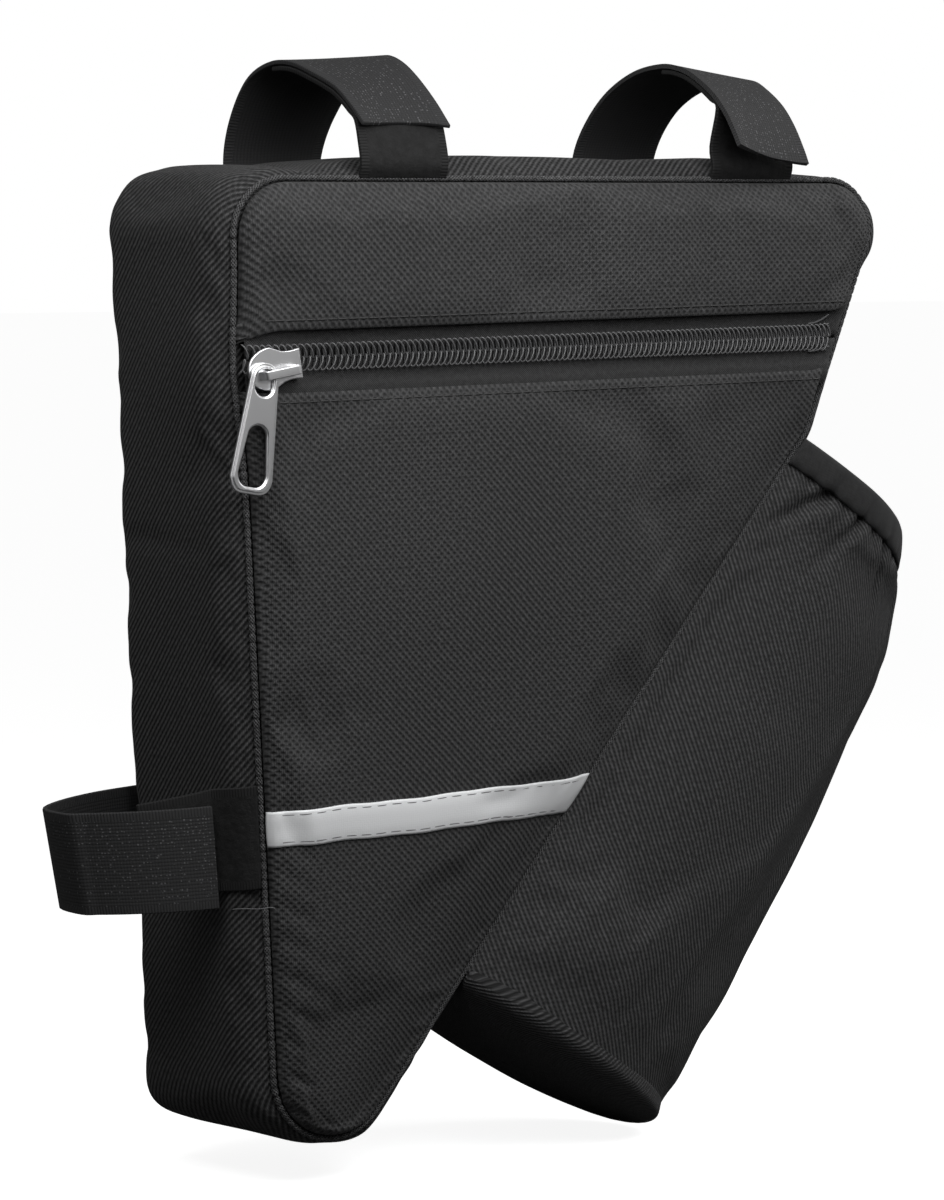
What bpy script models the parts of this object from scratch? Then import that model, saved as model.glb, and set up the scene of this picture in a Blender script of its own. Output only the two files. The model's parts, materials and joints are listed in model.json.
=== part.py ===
"""Bike frame bag: a soft triangular bag that hangs in a bicycle frame.

The bag hangs from the frame's top tube by two hook-and-loop straps and is steadied
by a third at its left side. A zip opens the front panel, and a bottle pocket is
sewn along the slanting side. Metres, +Z up, the zipped face looks along -Y. The
origin is the centre of the flat crown of the top gusset, where the tube rests.
"""

import math

import bmesh
import bpy
from mathutils import Vector

# Bag outline, taken along the seam line
TOP_LENGTH = 0.196
LEFT_LEAN = 0.0118
TIP_DROP = 0.2605
SHOULDER_IN = 0.0255
SHOULDER_DROP = 0.064
TOP_LEFT_RADIUS = 0.0135
TOP_RIGHT_RADIUS = 0.0125
SHOULDER_RADIUS = 0.030
TIP_RADIUS = 0.0165

# Depth, fabric and padding
BAG_DEPTH = 0.058
CROWN = 0.005
CROWN_ROLL = 0.0092
FABRIC = 0.0009
PANEL_PUFF = 0.005
PANEL_ROLL = 0.0085
WELT_RADIUS = 0.001
SEAM_GAP = 0.00035
LAYER_GAP = 0.0003
FOAM = 0.002
FOAM_MARGIN = 0.0035

# Zip
ZIP_DROP = 0.0413
ZIP_SLOPE = math.radians(1.0)
ZIP_WINDOW = 0.0155
ZIP_SINK = 0.0015
CHAIN_WIDTH = 0.0064
CHAIN_SLIT = 0.0009
COIL_PITCH = 0.00155
COIL_DEPTH = 0.00125
COIL_RIDGE = 0.0004
COIL_INSET = 0.0033
TAPE = 0.0004
TAPE_SEAM = 0.004
TAPE_INSET = 0.0016
TAPE_ROLL = 0.003
TAPE_DIP = 0.0012
SLIDER_LENGTH = 0.0148
SLIDER_WIDTH = 0.0104
SLIDER_PLATE = 0.001
SLIDER_INSET = -0.0012
SLIDER_SAG = 0.0012
SLIDER_TILT = math.radians(8)
SLIDER_WEB = 0.0003
FLANGE = 0.0007
BRIDGE_WIDTH = 0.0022
BRIDGE_DROP = 0.0012
BRIDGE_WINDOW = 0.0019
BRIDGE_BAR = 0.0011
BRIDGE_POST = 0.0016
NOSE_POST = 0.0038
TAIL_POST = 0.0124
PULL_LENGTH = 0.0315
PULL_TOP_WIDTH = 0.0078
PULL_BOTTOM_WIDTH = 0.0117
PULL_THICKNESS = 0.0012
PULL_EYE = 0.0050
PULL_EYE_DROP = 0.0008
PULL_EYE_REACH = 0.0017
PULL_SLOT_LENGTH = 0.0148
PULL_SLOT_TOP = 0.0052
PULL_SLOT_BOTTOM = 0.0078
PULL_RIM = 0.0017
PULL_LEAN = math.radians(9.5)

# Reflective strip
STRIP_WIDTH = 0.0083
STRIP_DROP = 0.1529
STRIP_SLOPE = math.radians(2.1)
STRIP_THICKNESS = 0.0004
STRIP_INSET = 0.0022

# Hook-and-loop straps
STRAP_WIDTH = 0.025
STRAP_THICKNESS = 0.0014
STRAP_ARCH = 0.030
LEFT_STRAP_INSET = 0.0479
RIGHT_STRAP_INSET = 0.0435
SIDE_STRAP_DROP = 0.1625
SIDE_STRAP_REACH = 0.0413
SIDE_STRAP_TAPER = 0.08
SIDE_ARC_RADIUS = 0.051
SIDE_ARC_SPAN = math.radians(50)
SIDE_HOOK_START = math.radians(9)
SIDE_LOOP_SPAN = math.radians(30)

# Bottle pocket, measured down the slanting side from its mouth, just below the shoulder
POCKET_START = 0.002
POCKET_LENGTH = 0.167
POCKET_DEPTH = 0.083
POCKET_HALF_WIDTH = 0.036
POCKET_SWELL = 3.2
MOUTH_DEPTH = 0.0525
MOUTH_HALF_WIDTH = 0.0315
MOUTH_RISE = 0.004
BASE_RISE = 0.007
POCKET_WALL = 0.0012
POCKET_EDGE = 0.0019
BINDING_WIDTH = 0.0088
BINDING_FABRIC = 0.0008
ELASTIC_WIDTH = 0.005
ELASTIC = 0.001
BASE_BULGE = 0.004

# Places that follow from the sizes above
SEAM_Z = -CROWN
HALF_DEPTH = BAG_DEPTH / 2
PANEL_EDGE = WELT_RADIUS + SEAM_GAP
PANEL_FACE = HALF_DEPTH + PANEL_PUFF
ZIP_Z = SEAM_Z - ZIP_DROP
TAPE_FRONT = PANEL_FACE - FABRIC - SEAM_GAP - ZIP_SINK
COIL_BACK = TAPE_FRONT + LAYER_GAP
COIL_FRONT = COIL_BACK + COIL_DEPTH
SLIDER_INNER = COIL_FRONT + LAYER_GAP
SLIDER_FACE = SLIDER_INNER + SLIDER_PLATE
SLIDER_REAR = TAPE_FRONT - TAPE - LAYER_GAP
BRIDGE_INNER = SLIDER_FACE + BRIDGE_WINDOW
STRAP_FOOT = PANEL_EDGE + STRAP_THICKNESS / 2
STRAP_STEP = STRAP_THICKNESS + SEAM_GAP
LEFT_STRAP_X = LEFT_STRAP_INSET - TOP_LENGTH / 2
RIGHT_STRAP_X = TOP_LENGTH / 2 - RIGHT_STRAP_INSET

# Corners of the outline: X, Z, radius and the number of facets round it
CORNERS = (
    (-TOP_LENGTH / 2, SEAM_Z, TOP_LEFT_RADIUS, 8),
    (TOP_LENGTH / 2, SEAM_Z, TOP_RIGHT_RADIUS, 9),
    (TOP_LENGTH / 2 - SHOULDER_IN, SEAM_Z - SHOULDER_DROP, SHOULDER_RADIUS, 3),
    (-TOP_LENGTH / 2 + LEFT_LEAN, SEAM_Z - TIP_DROP, TIP_RADIUS, 10),
)
TOP_LEFT, TOP_RIGHT, SHOULDER, TIP = range(4)
RIGHT_SIDE, DIAGONAL_SIDE, LEFT_SIDE = TOP_RIGHT, SHOULDER, TIP

FABRIC_GREY = (0.030, 0.030, 0.031)
GUSSET_GREY = (0.022, 0.022, 0.023)
TAPE_GREY = (0.018, 0.018, 0.018)
LOOP_GREY = (0.010, 0.010, 0.010)
HOOK_GREY = (0.034, 0.034, 0.035)
FOAM_GREY = (0.10, 0.10, 0.11)
ELASTIC_GREY = (0.05, 0.05, 0.05)
SILVER_TAPE = (0.40, 0.41, 0.42)
NICKEL = (0.72, 0.72, 0.72)


def clear_scene():
    """Removes every object that the scene opens with."""
    for old in list(bpy.data.objects):
        bpy.data.objects.remove(old, do_unlink=True)


def finish(name, colour, roughness, metallic):
    """One plain Principled material."""
    made = bpy.data.materials.new(name)
    made.use_nodes = True
    shader = made.node_tree.nodes["Principled BSDF"]
    shader.inputs["Base Color"].default_value = (*colour, 1.0)
    shader.inputs["Roughness"].default_value = roughness
    shader.inputs["Metallic"].default_value = metallic
    return made


def add_solid(name, skin, colour, roughness=0.85, metallic=0.0):
    """Makes a named object from a skin's points and faces, facing outwards."""
    points, faces = skin
    mesh = bpy.data.meshes.new(name)
    mesh.from_pydata([tuple(p) for p in points], [], faces)
    shape = bmesh.new()
    shape.from_mesh(mesh)
    bmesh.ops.recalc_face_normals(shape, faces=shape.faces)
    shape.to_mesh(mesh)
    shape.free()
    obj = bpy.data.objects.new(name, mesh)
    bpy.context.collection.objects.link(obj)
    mesh.materials.append(finish(name + "_finish", colour, roughness, metallic))
    round_off(obj)
    return obj


def round_off(obj):
    """Shades an object smooth, with its folds and cut ends kept sharp."""
    obj.data.shade_smooth()
    obj.data.set_sharp_from_angle(angle=math.radians(40))


def loft(rings):
    """A closed skin through rings of equally many points, with both ends filled."""
    count = len(rings[0])
    points = [p for ring in rings for p in ring]
    faces = []
    for start in range(0, (len(rings) - 1) * count, count):
        for i in range(count):
            j = (i + 1) % count
            faces.append((start + i, start + j, start + count + j, start + count + i))
    faces.append(tuple(range(count)))
    faces.append(tuple(range(len(points) - count, len(points))))
    return points, faces


def hoop(rings):
    """A closed skin whose last ring joins its first, as on a tyre."""
    points, faces = loft(rings)
    count = len(rings[0])
    last = len(points) - count
    bridge = [(i, (i + 1) % count, last + (i + 1) % count, last + i) for i in range(count)]
    return points, faces[:-2] + bridge


def prism(outline_points, place, low, high):
    """A closed skin between two copies of an outline, each point put by place."""
    return loft([[place(a, b, w) for a, b in outline_points] for w in (low, high)])


def evaluate(obj):
    """Writes the shape that the modifiers give back into the object's mesh."""
    bpy.context.view_layer.update()
    seen = obj.evaluated_get(bpy.context.evaluated_depsgraph_get())
    obj.data = bpy.data.meshes.new_from_object(seen)
    obj.modifiers.clear()


def combine(target, others, operation):
    """Unites the other solids with the target, or cuts them out of it."""
    for other in others:
        step = target.modifiers.new(other.name, "BOOLEAN")
        step.operation = operation
        step.solver = "EXACT"
        step.object = other
        evaluate(target)
        bpy.data.objects.remove(other, do_unlink=True)
    round_off(target)


def trim(obj, point, normal):
    """Cuts a solid with a plane and keeps the part that the normal points into."""
    shape = bmesh.new()
    shape.from_mesh(obj.data)
    parts = shape.verts[:] + shape.edges[:] + shape.faces[:]
    cut = bmesh.ops.bisect_plane(
        shape, geom=parts, dist=1e-7, plane_co=point, plane_no=normal, clear_inner=True)
    rim = [e for e in cut["geom_cut"] if isinstance(e, bmesh.types.BMEdge)]
    bmesh.ops.holes_fill(shape, edges=rim, sides=0)
    bmesh.ops.recalc_face_normals(shape, faces=shape.faces)
    shape.to_mesh(obj.data)
    shape.free()
    round_off(obj)


def smooth_path(knots, steps):
    """A curve through the knots, with steps points to each span."""
    ends = [knots[0] * 2 - knots[1], *knots, knots[-1] * 2 - knots[-2]]
    path = []
    for a, b, c, d in zip(ends, ends[1:], ends[2:], ends[3:]):
        for step in range(steps):
            t = step / steps
            path.append(0.5 * (2 * b + (c - a) * t + (2 * a - 5 * b + 4 * c - d) * t * t
                               + (3 * b - 3 * c + d - a) * t ** 3))
    return path + [knots[-1]]


def shifted(path, distance):
    """The path moved sideways, to its left for a positive distance."""
    moved = []
    for i, point in enumerate(path):
        along = (path[min(i + 1, len(path) - 1)] - path[max(i - 1, 0)]).normalized()
        moved.append(point + Vector((-along.y, along.x)) * distance)
    return moved


def webbing_outline(path):
    """Edge-on outline of a strap along a path, with a round hem at the first point."""
    half = STRAP_THICKNESS / 2
    left, right = shifted(path, half), shifted(path, -half)
    arm = right[0] - path[0]
    hem = []
    for step in range(1, 6):
        turn = -math.pi * step / 6
        cos, sin = math.cos(turn), math.sin(turn)
        hem.append(path[0] + Vector((arm.x * cos - arm.y * sin, arm.x * sin + arm.y * cos)))
    return left + right[::-1] + hem


def side_line(side):
    """Start, direction and inward normal of one side of the outline, in X and Z."""
    x0, z0 = CORNERS[side][:2]
    x1, z1 = CORNERS[(side + 1) % 4][:2]
    along = Vector((x1 - x0, z1 - z0)).normalized()
    return Vector((x0, z0)), along, Vector((along.y, -along.x))


def crossing(point_a, along_a, point_b, along_b):
    """Where two straight lines in the X and Z plane cross."""
    turn = along_a.x * along_b.y - along_a.y * along_b.x
    gap = point_b - point_a
    return point_a + along_a * ((gap.x * along_b.y - gap.y * along_b.x) / turn)


def outline(inset):
    """The rounded outline drawn in by inset: X and Z points, clockwise from top left."""
    points = []
    for corner, (_, _, radius, steps) in enumerate(CORNERS):
        before, along_in, normal_in = side_line((corner - 1) % 4)
        after, along_out, normal_out = side_line(corner)
        tip = crossing(before + normal_in * inset, along_in, after + normal_out * inset, along_out)
        bend = max(radius - inset, radius * 0.05)
        turn = along_in.angle(along_out)
        arm = -normal_in * bend
        centre = tip - along_in * bend * math.tan(turn / 2) - arm
        for step in range(steps + 1):
            cos, sin = math.cos(turn * step / steps), -math.sin(turn * step / steps)
            points.append(centre + Vector((arm.x * cos - arm.y * sin, arm.x * sin + arm.y * cos)))
    return points


def corner_start(corner):
    """Index in the outline of a corner's first point."""
    return sum(steps + 1 for _, _, _, steps in CORNERS[:corner])


def inset_at(x, z):
    """How far a point lies inside the nearest side of the outline."""
    here = Vector((x, z))
    return min((here - start).dot(normal) for start, _, normal in map(side_line, range(4)))


def roll(inset, start, reach):
    """Share of its full height that a soft edge has risen to, from 0 to 1."""
    share = min(max((inset - start) / reach, 0.0), 1.0)
    return math.sqrt(1.0 - (1.0 - share) ** 2)


def panel_face(inset):
    """Distance of a panel's outer face from the bag's middle plane."""
    return HALF_DEPTH + PANEL_PUFF * roll(inset, PANEL_EDGE, PANEL_ROLL)


def domed_panel(name, side, edge, depth, thickness, colour):
    """A padded panel at depth under the skin: side is -1 for the front, 1 for the back."""
    outer, inner = [], []
    for rise in (0.0, 0.06, 0.2, 0.45, 1.0):
        inset = edge + (PANEL_EDGE + PANEL_ROLL - edge) * rise
        face = panel_face(inset) - depth
        outer.append([Vector((p.x, side * face, p.y)) for p in outline(inset)])
        inner.append([Vector((p.x, side * (face - thickness), p.y)) for p in outline(inset)])
    return add_solid(name, loft(outer[::-1] + inner), colour)


def zip_z(x, v):
    """Height of a point that lies v above the zip's centre line."""
    return ZIP_Z + x * math.tan(ZIP_SLOPE) + v


def x_inside(side, inset, centre_z, slope, v):
    """X of the point at inset from a side, on a sloping line v above its centre line."""
    start, _, normal = side_line(side)
    rise = math.tan(slope)
    level = inset + start.x * normal.x - (centre_z + v - start.y) * normal.y
    return level / (normal.x + rise * normal.y)


def trim_at_zip(obj, side, distance):
    """Cuts a front layer off at a distance above (side 1) or below the zip's centre."""
    up = Vector((-math.sin(ZIP_SLOPE), 0.0, math.cos(ZIP_SLOPE))) * side
    trim(obj, Vector((0.0, 0.0, ZIP_Z)) + up * distance, up)


def make_front():
    """The front panel in two pieces, folded back above and below the zip."""
    window = ZIP_WINDOW / 2
    foam_clear = window + TAPE_SEAM + LAYER_GAP
    for word, side in (("upper", 1), ("lower", -1)):
        panel = domed_panel("front_panel_" + word, -1, PANEL_EDGE, 0.0, FABRIC, FABRIC_GREY)
        trim_at_zip(panel, side, window)
        foam = domed_panel("front_foam_" + word, -1, PANEL_EDGE + FOAM_MARGIN,
                           FABRIC + LAYER_GAP, FOAM, FOAM_GREY)
        trim_at_zip(foam, side, foam_clear)


def make_back():
    """The back panel, one piece, and its foam."""
    domed_panel("back_panel", 1, PANEL_EDGE, 0.0, FABRIC, FABRIC_GREY)
    domed_panel("back_foam", 1, PANEL_EDGE + FOAM_MARGIN, FABRIC + LAYER_GAP, FOAM, FOAM_GREY)


def crown_profile(drop):
    """Depth and height of points over a gusset's crown, front to back."""
    reach = HALF_DEPTH - PANEL_EDGE
    rise = []
    for step in (0.0, 0.12, 0.4, 1.0):
        height = CROWN * math.sqrt(1.0 - (1.0 - step) ** 2)
        rise.append((CROWN_ROLL * step - reach, height - drop))
    return rise + [(-y, height) for y, height in rise[::-1]]


def gusset_rings(drop, thickness, margin):
    """Cross-sections of a gusset layer at every point of the outline, clockwise."""
    top = [(y, h) for y, h in crown_profile(drop) if abs(y) < HALF_DEPTH - margin]
    section = top + [(y, h - thickness) for y, h in top[::-1]]
    loops = [(y, outline(-h)) for y, h in section]
    return [[Vector((loop[i].x, y, loop[i].y)) for y, loop in loops]
            for i in range(len(loops[0][1]))]


def stepped_ring(ring, towards, distance):
    """A cross-section moved a short way towards the next one."""
    return [p + (q - p).normalized() * distance for p, q in zip(ring, towards)]


def make_gusset(word, drop, thickness, margin, colour):
    """The band over the top, left side and tip, and the shorter one down the right."""
    rings = gusset_rings(drop, thickness, margin)
    right_end, tip_start = corner_start(SHOULDER) - 1, corner_start(TIP)
    shoulder = rings[right_end + 1:tip_start]
    add_solid("gusset_" + word, loft(rings[tip_start:] + rings[:right_end + 1]), colour)
    first = stepped_ring(rings[right_end], shoulder[0], SEAM_GAP)
    last = stepped_ring(rings[tip_start], shoulder[-1], SEAM_GAP)
    add_solid("diagonal_" + word, loft([first, *shoulder, last]), colour)


def make_welt(name, y):
    """The cord-like ridge that the sewn edges make round one face of the bag."""
    rings = []
    loops = [(side, outline(WELT_RADIUS * math.cos(side))) for side in
             (math.tau * k / 6 for k in range(6))]
    for i in range(len(loops[0][1])):
        rings.append([Vector((loop[i].x, y + WELT_RADIUS * math.sin(side), loop[i].y))
                      for side, loop in loops])
    add_solid(name, hoop(rings), TAPE_GREY)


def make_tape(name, side):
    """One half of the zip's woven tape: flat under the chain, under the panel beside it."""
    window = ZIP_WINDOW / 2
    rows = (CHAIN_SLIT / 2, window - 2 * TAPE_DIP, window - TAPE_DIP, window + TAPE_SEAM)
    rolled = PANEL_EDGE + TAPE_ROLL
    insets = [TAPE_INSET, (TAPE_INSET + rolled) / 2, rolled, rolled + PANEL_ROLL * 0.3,
              PANEL_EDGE + PANEL_ROLL]
    stations = [(LEFT_SIDE, i) for i in insets] + [(RIGHT_SIDE, i) for i in insets[::-1]]
    rings = []
    for seam, inset in stations:
        flat = HALF_DEPTH + (TAPE_FRONT - HALF_DEPTH) * roll(inset, PANEL_EDGE, TAPE_ROLL)
        covered = panel_face(inset) - FABRIC - SEAM_GAP
        front = []
        for row, depth in zip(rows, (flat, flat, covered, covered)):
            x = x_inside(seam, inset, ZIP_Z, ZIP_SLOPE, side * row)
            front.append(Vector((x, -depth, zip_z(x, side * row))))
        rings.append(front + [p + Vector((0.0, TAPE, 0.0)) for p in front[::-1]])
    add_solid(name, loft(rings), TAPE_GREY)


def make_coil(name, side):
    """One half of the zip's coil: slanting ridges, one for each turn of the coil."""
    inner, outer = side * CHAIN_SLIT / 2, side * CHAIN_WIDTH / 2
    left = x_inside(LEFT_SIDE, COIL_INSET, ZIP_Z, ZIP_SLOPE, 0.0)
    right = x_inside(RIGHT_SIDE, COIL_INSET, ZIP_Z, ZIP_SLOPE, 0.0)
    turns = round((right - left) / COIL_PITCH)
    half_pitch = (right - left) / turns / 2
    slant = half_pitch * 0.8
    points, count = [], 2 * turns + 1
    for step in range(count):
        x = left + half_pitch * step
        y = COIL_FRONT - (COIL_RIDGE if step % 2 == 0 else 0.0)
        ends = 0.0 if step in (0, count - 1) else slant
        points.append(Vector((x, -y, zip_z(x, inner))))
        points.append(Vector((x + ends, -y, zip_z(x + ends, outer))))
    corners = len(points)
    for x in (left, right):
        points.append(Vector((x, -COIL_BACK, zip_z(x, inner))))
        points.append(Vector((x, -COIL_BACK, zip_z(x, outer))))
    faces = [(2 * s, 2 * s + 1, 2 * s + 3, 2 * s + 2) for s in range(count - 1)]
    faces.append(tuple(range(0, corners, 2)) + (corners + 2, corners))
    faces.append(tuple(range(1, corners, 2)) + (corners + 3, corners + 1))
    faces.append((corners, corners + 1, corners + 3, corners + 2))
    faces.append((0, 1, corners + 1, corners))
    faces.append((corners - 2, corners - 1, corners + 3, corners + 2))
    add_solid(name, (points, faces), TAPE_GREY, 0.45)


def slider_place():
    """Puts a point given along, above and out from the slider's nose into the bag."""
    nose = x_inside(LEFT_SIDE, SLIDER_INSET, ZIP_Z, ZIP_SLOPE, 0.0)
    cos, sin = math.cos(ZIP_SLOPE), math.sin(ZIP_SLOPE)

    def place(u, v, out):
        return Vector((nose + u * cos - v * sin, -out, zip_z(nose, 0.0) + u * sin + v * cos))

    return place


def hung_place():
    """The same for the front plate and bridge, which the tab's weight tilts about the tail."""
    place = slider_place()
    cos, sin = math.cos(SLIDER_TILT), math.sin(SLIDER_TILT)

    def hung(u, v, out):
        back = u - SLIDER_LENGTH
        return place(SLIDER_LENGTH + back * cos - v * sin,
                     back * sin + v * cos - SLIDER_SAG, out)

    return hung


def slider_plan(width, start, end):
    """Half-round nose, drawn-in waist and narrower flared tail of a slider plate."""
    half = width / 2
    length = end - start
    upper = [(0.0, 0.3), (0.06, 0.58), (0.16, 0.8), (0.3, 0.96), (0.44, 1.0), (0.56, 0.84),
             (0.68, 0.71), (0.84, 0.67), (1.0, 0.71)]
    top = [(start + length * u, half * v) for u, v in upper]
    return top + [(u, -v) for u, v in top[::-1]]


def make_slider():
    """The cast slider: front plate, lower flange, rear plate, and the bridge on top."""
    place, hung = slider_place(), hung_place()
    sunk = SLIDER_PLATE / 4
    wing = SLIDER_WIDTH * 0.8
    slider = add_solid("zipper_slider", prism(
        slider_plan(SLIDER_WIDTH, 0.0, SLIDER_LENGTH), hung, SLIDER_INNER, SLIDER_FACE),
        NICKEL, 0.25, 1.0)
    rear_start = PANEL_EDGE + TAPE_ROLL - SLIDER_INSET
    rear = add_solid("rear_plate", prism(
        slider_plan(wing, rear_start, SLIDER_LENGTH - SLIDER_PLATE),
        place, SLIDER_REAR - SLIDER_PLATE, SLIDER_REAR), NICKEL)

    def bar(name, u, v, out):
        corners = [(u[0], v[0]), (u[1], v[0]), (u[1], v[1]), (u[0], v[1])]
        return add_solid(name, prism(corners, place, *out), NICKEL)

    web = bar("web", (rear_start + sunk, rear_start + 3 * SLIDER_PLATE),
              (-SLIDER_WEB / 2, SLIDER_WEB / 2), (SLIDER_REAR - sunk, SLIDER_INNER + sunk))
    near = CHAIN_WIDTH / 2 + SEAM_GAP
    flange = bar("flange", (SLIDER_LENGTH * 0.25, SLIDER_LENGTH * 0.8), (-near - FLANGE, -near),
                 (TAPE_FRONT + SEAM_GAP, SLIDER_INNER + sunk))
    foot, inner, top = SLIDER_FACE - sunk, BRIDGE_INNER, BRIDGE_INNER + BRIDGE_BAR
    half_post = BRIDGE_POST / 2
    arch = [(NOSE_POST - half_post, foot), (NOSE_POST - half_post, top),
            (TAIL_POST + half_post, top), (TAIL_POST + half_post, foot),
            (TAIL_POST - half_post, foot), (TAIL_POST - half_post, inner),
            (NOSE_POST + half_post, inner), (NOSE_POST + half_post, foot)]
    bridge = add_solid("bridge", prism(
        arch, lambda u, out, v: hung(u, v - BRIDGE_DROP, out),
        -BRIDGE_WIDTH / 2, BRIDGE_WIDTH / 2), NICKEL)
    combine(slider, [web, rear, flange, bridge], "UNION")


def tapered_plan(top, bottom, start, end, corner):
    """A tapering outline with a round top and rounded bottom corners, down from start."""
    points = []
    for step in range(9):
        turn = math.pi * step / 8
        points.append((top / 2 * math.cos(turn), start + top / 2 * (1 - math.sin(turn))))
    for side in (-1, 1):
        arc = []
        for step in range(4):
            turn = math.pi / 2 * step / 3
            arc.append((side * (bottom / 2 - corner * (1 - math.cos(turn))),
                        end - corner * (1 - math.sin(turn))))
        points += arc if side < 0 else arc[::-1]
    return points


def make_pull():
    """The flat pull tab, hung by its eye from the nose post of the bridge."""
    centre = hung_place()(NOSE_POST, -BRIDGE_DROP, 0.0)
    cos, sin = math.cos(PULL_LEAN), math.sin(PULL_LEAN)
    middle = SLIDER_FACE + BRIDGE_WINDOW / 2
    half = PULL_THICKNESS / 2

    def place(across, down, out):
        return Vector((centre.x + across * cos - down * sin, -out,
                       centre.z - across * sin - down * cos))

    top = PULL_EYE_DROP - PULL_TOP_WIDTH / 2
    foot = PULL_LENGTH + top
    pull = add_solid("zipper_pull", prism(
        tapered_plan(PULL_TOP_WIDTH, PULL_BOTTOM_WIDTH, top, foot, PULL_BOTTOM_WIDTH * 0.3),
        place, middle - half, middle + half), NICKEL, 0.25, 1.0)
    eye_points = []
    for k in range(18):
        turn = math.tau * (k - k // 9) / 16
        reach = PULL_EYE_REACH if k < 9 else 0.0
        eye_points.append((PULL_EYE / 2 * math.cos(turn),
                           PULL_EYE_DROP + reach + PULL_EYE / 2 * math.sin(turn)))
    slot_end = foot - PULL_RIM
    slot_points = tapered_plan(PULL_SLOT_TOP, PULL_SLOT_BOTTOM, slot_end - PULL_SLOT_LENGTH,
                               slot_end, PULL_SLOT_BOTTOM * 0.35)
    cutters = [add_solid(name, prism(points, place, middle - 2 * half, middle + 2 * half), NICKEL)
               for name, points in (("eye", eye_points), ("slot", slot_points))]
    combine(pull, cutters, "DIFFERENCE")


def make_strip():
    """The reflective tape sewn across the lower front panel, seam to seam."""
    centre_z = SEAM_Z - STRIP_DROP
    insets = [STRIP_INSET, STRIP_INSET * 1.6, STRIP_INSET * 2.6, PANEL_EDGE + PANEL_ROLL]
    stations = ([(LEFT_SIDE, i) for i in insets]
                + [(DIAGONAL_SIDE, i) for i in insets[::-1]])
    rings = []
    for seam, inset in stations:
        ring = []
        for v in (-STRIP_WIDTH / 2, STRIP_WIDTH / 2):
            x = x_inside(seam, inset, centre_z, STRIP_SLOPE, v)
            z = centre_z + x * math.tan(STRIP_SLOPE) + v
            back = panel_face(inset_at(x, z)) + LAYER_GAP
            ring.append((x, z, back))
        low, high = ring
        rings.append([Vector((x, -(back + rise), z)) for (x, z, back), rise in
                      ((low, 0.0), (high, 0.0), (high, STRIP_THICKNESS),
                       (low, STRIP_THICKNESS))])
    add_solid("reflective_strip", loft(rings), SILVER_TAPE, 0.35)


def make_top_strap(word, centre_x, shares, twist, bare_end, overlap):
    """A hook strap from the rear seam over the tube, pressed on a loop strap in front.

    The shares are the curve's depth in half depths of the bag and its height in
    arch heights. Twist is the share by which the arch is higher at its left edge. The
    last bare_end points of the hook strap stand free.
    """
    foot = SEAM_Z + STRAP_FOOT
    root = Vector((HALF_DEPTH, foot))
    knots = [root] + [Vector((HALF_DEPTH * y, SEAM_Z + STRAP_ARCH * z)) for y, z in shares]
    path = smooth_path(knots, 3)

    def place(y, z, x):
        lift = 1.0 - twist * (x - centre_x) / STRAP_WIDTH
        return Vector((x, y, foot + (z - foot) * (lift if z > foot else 1.0)))

    low, high = centre_x - STRAP_WIDTH / 2, centre_x + STRAP_WIDTH / 2
    add_solid(word + "_strap_hook", prism(webbing_outline(path), place, low, high), HOOK_GREY)
    last = len(path) - bare_end
    held = shifted(path, STRAP_STEP)[last - overlap:last][::-1]
    leg = [Vector((-HALF_DEPTH, foot)), Vector((-HALF_DEPTH - STRAP_THICKNESS / 2,
                                               (foot + held[0].y) / 2))]
    loop_path = smooth_path(leg + held[:1], 3)[:-1] + held
    add_solid(word + "_strap_loop", prism(webbing_outline(loop_path), place, low, high),
              LOOP_GREY)


def make_side_strap():
    """The strap at the left side, which goes round the frame's seat tube.

    Its overlap is an arc about the root of the hook strap, so that the hook strap
    swings off the loop strap without cutting into it.
    """
    start, along, inward = side_line(LEFT_SIDE)
    centre = start + along * ((SEAM_Z - SIDE_STRAP_DROP - start.y) / along.y)

    def place(out, y, rise):
        short = 1.0 - SIDE_STRAP_TAPER * (0.5 - rise / STRAP_WIDTH)
        spot = centre - inward * (STRAP_FOOT + (out - STRAP_FOOT) * short) + along * rise
        return Vector((spot.x, y, spot.y))

    root = Vector((STRAP_FOOT, HALF_DEPTH))
    reach = SIDE_STRAP_REACH
    leg = [root, Vector((reach * 0.38, HALF_DEPTH * 0.9)), Vector((reach * 0.72, HALF_DEPTH * 0.66)),
           Vector((reach * 0.95, HALF_DEPTH * 0.33))]

    def arc(radius, first, last, steps):
        turns = [first + (last - first) * k / steps for k in range(steps + 1)]
        return [root + Vector((math.sin(t), -math.cos(t))) * radius for t in turns]

    hook_arc = arc(SIDE_ARC_RADIUS, SIDE_ARC_SPAN, SIDE_HOOK_START, 8)
    hook_path = smooth_path(leg + hook_arc[:1], 3)[:-1] + hook_arc
    half = STRAP_WIDTH / 2
    add_solid("side_strap_hook", prism(webbing_outline(hook_path), place, -half, half), HOOK_GREY)
    loop_arc = arc(SIDE_ARC_RADIUS - STRAP_STEP, SIDE_HOOK_START * 0.85, SIDE_LOOP_SPAN, 5)
    rise = Vector((STRAP_FOOT, -HALF_DEPTH))
    mid = Vector((STRAP_FOOT + CROWN * 0.6, (loop_arc[0].y - HALF_DEPTH) / 2))
    loop_path = smooth_path([rise, mid, loop_arc[0]], 3)[:-1] + loop_arc
    add_solid("side_strap_loop", prism(webbing_outline(loop_path), place, -half, half), LOOP_GREY)


def pocket_place():
    """Puts a point given down, out from and across the slanting side into the bag."""
    start, along, inward = side_line(DIAGONAL_SIDE)

    def place(down, out, y):
        spot = start + along * (POCKET_START + down) - inward * out
        return Vector((spot.x, y, spot.y))

    return place


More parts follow.
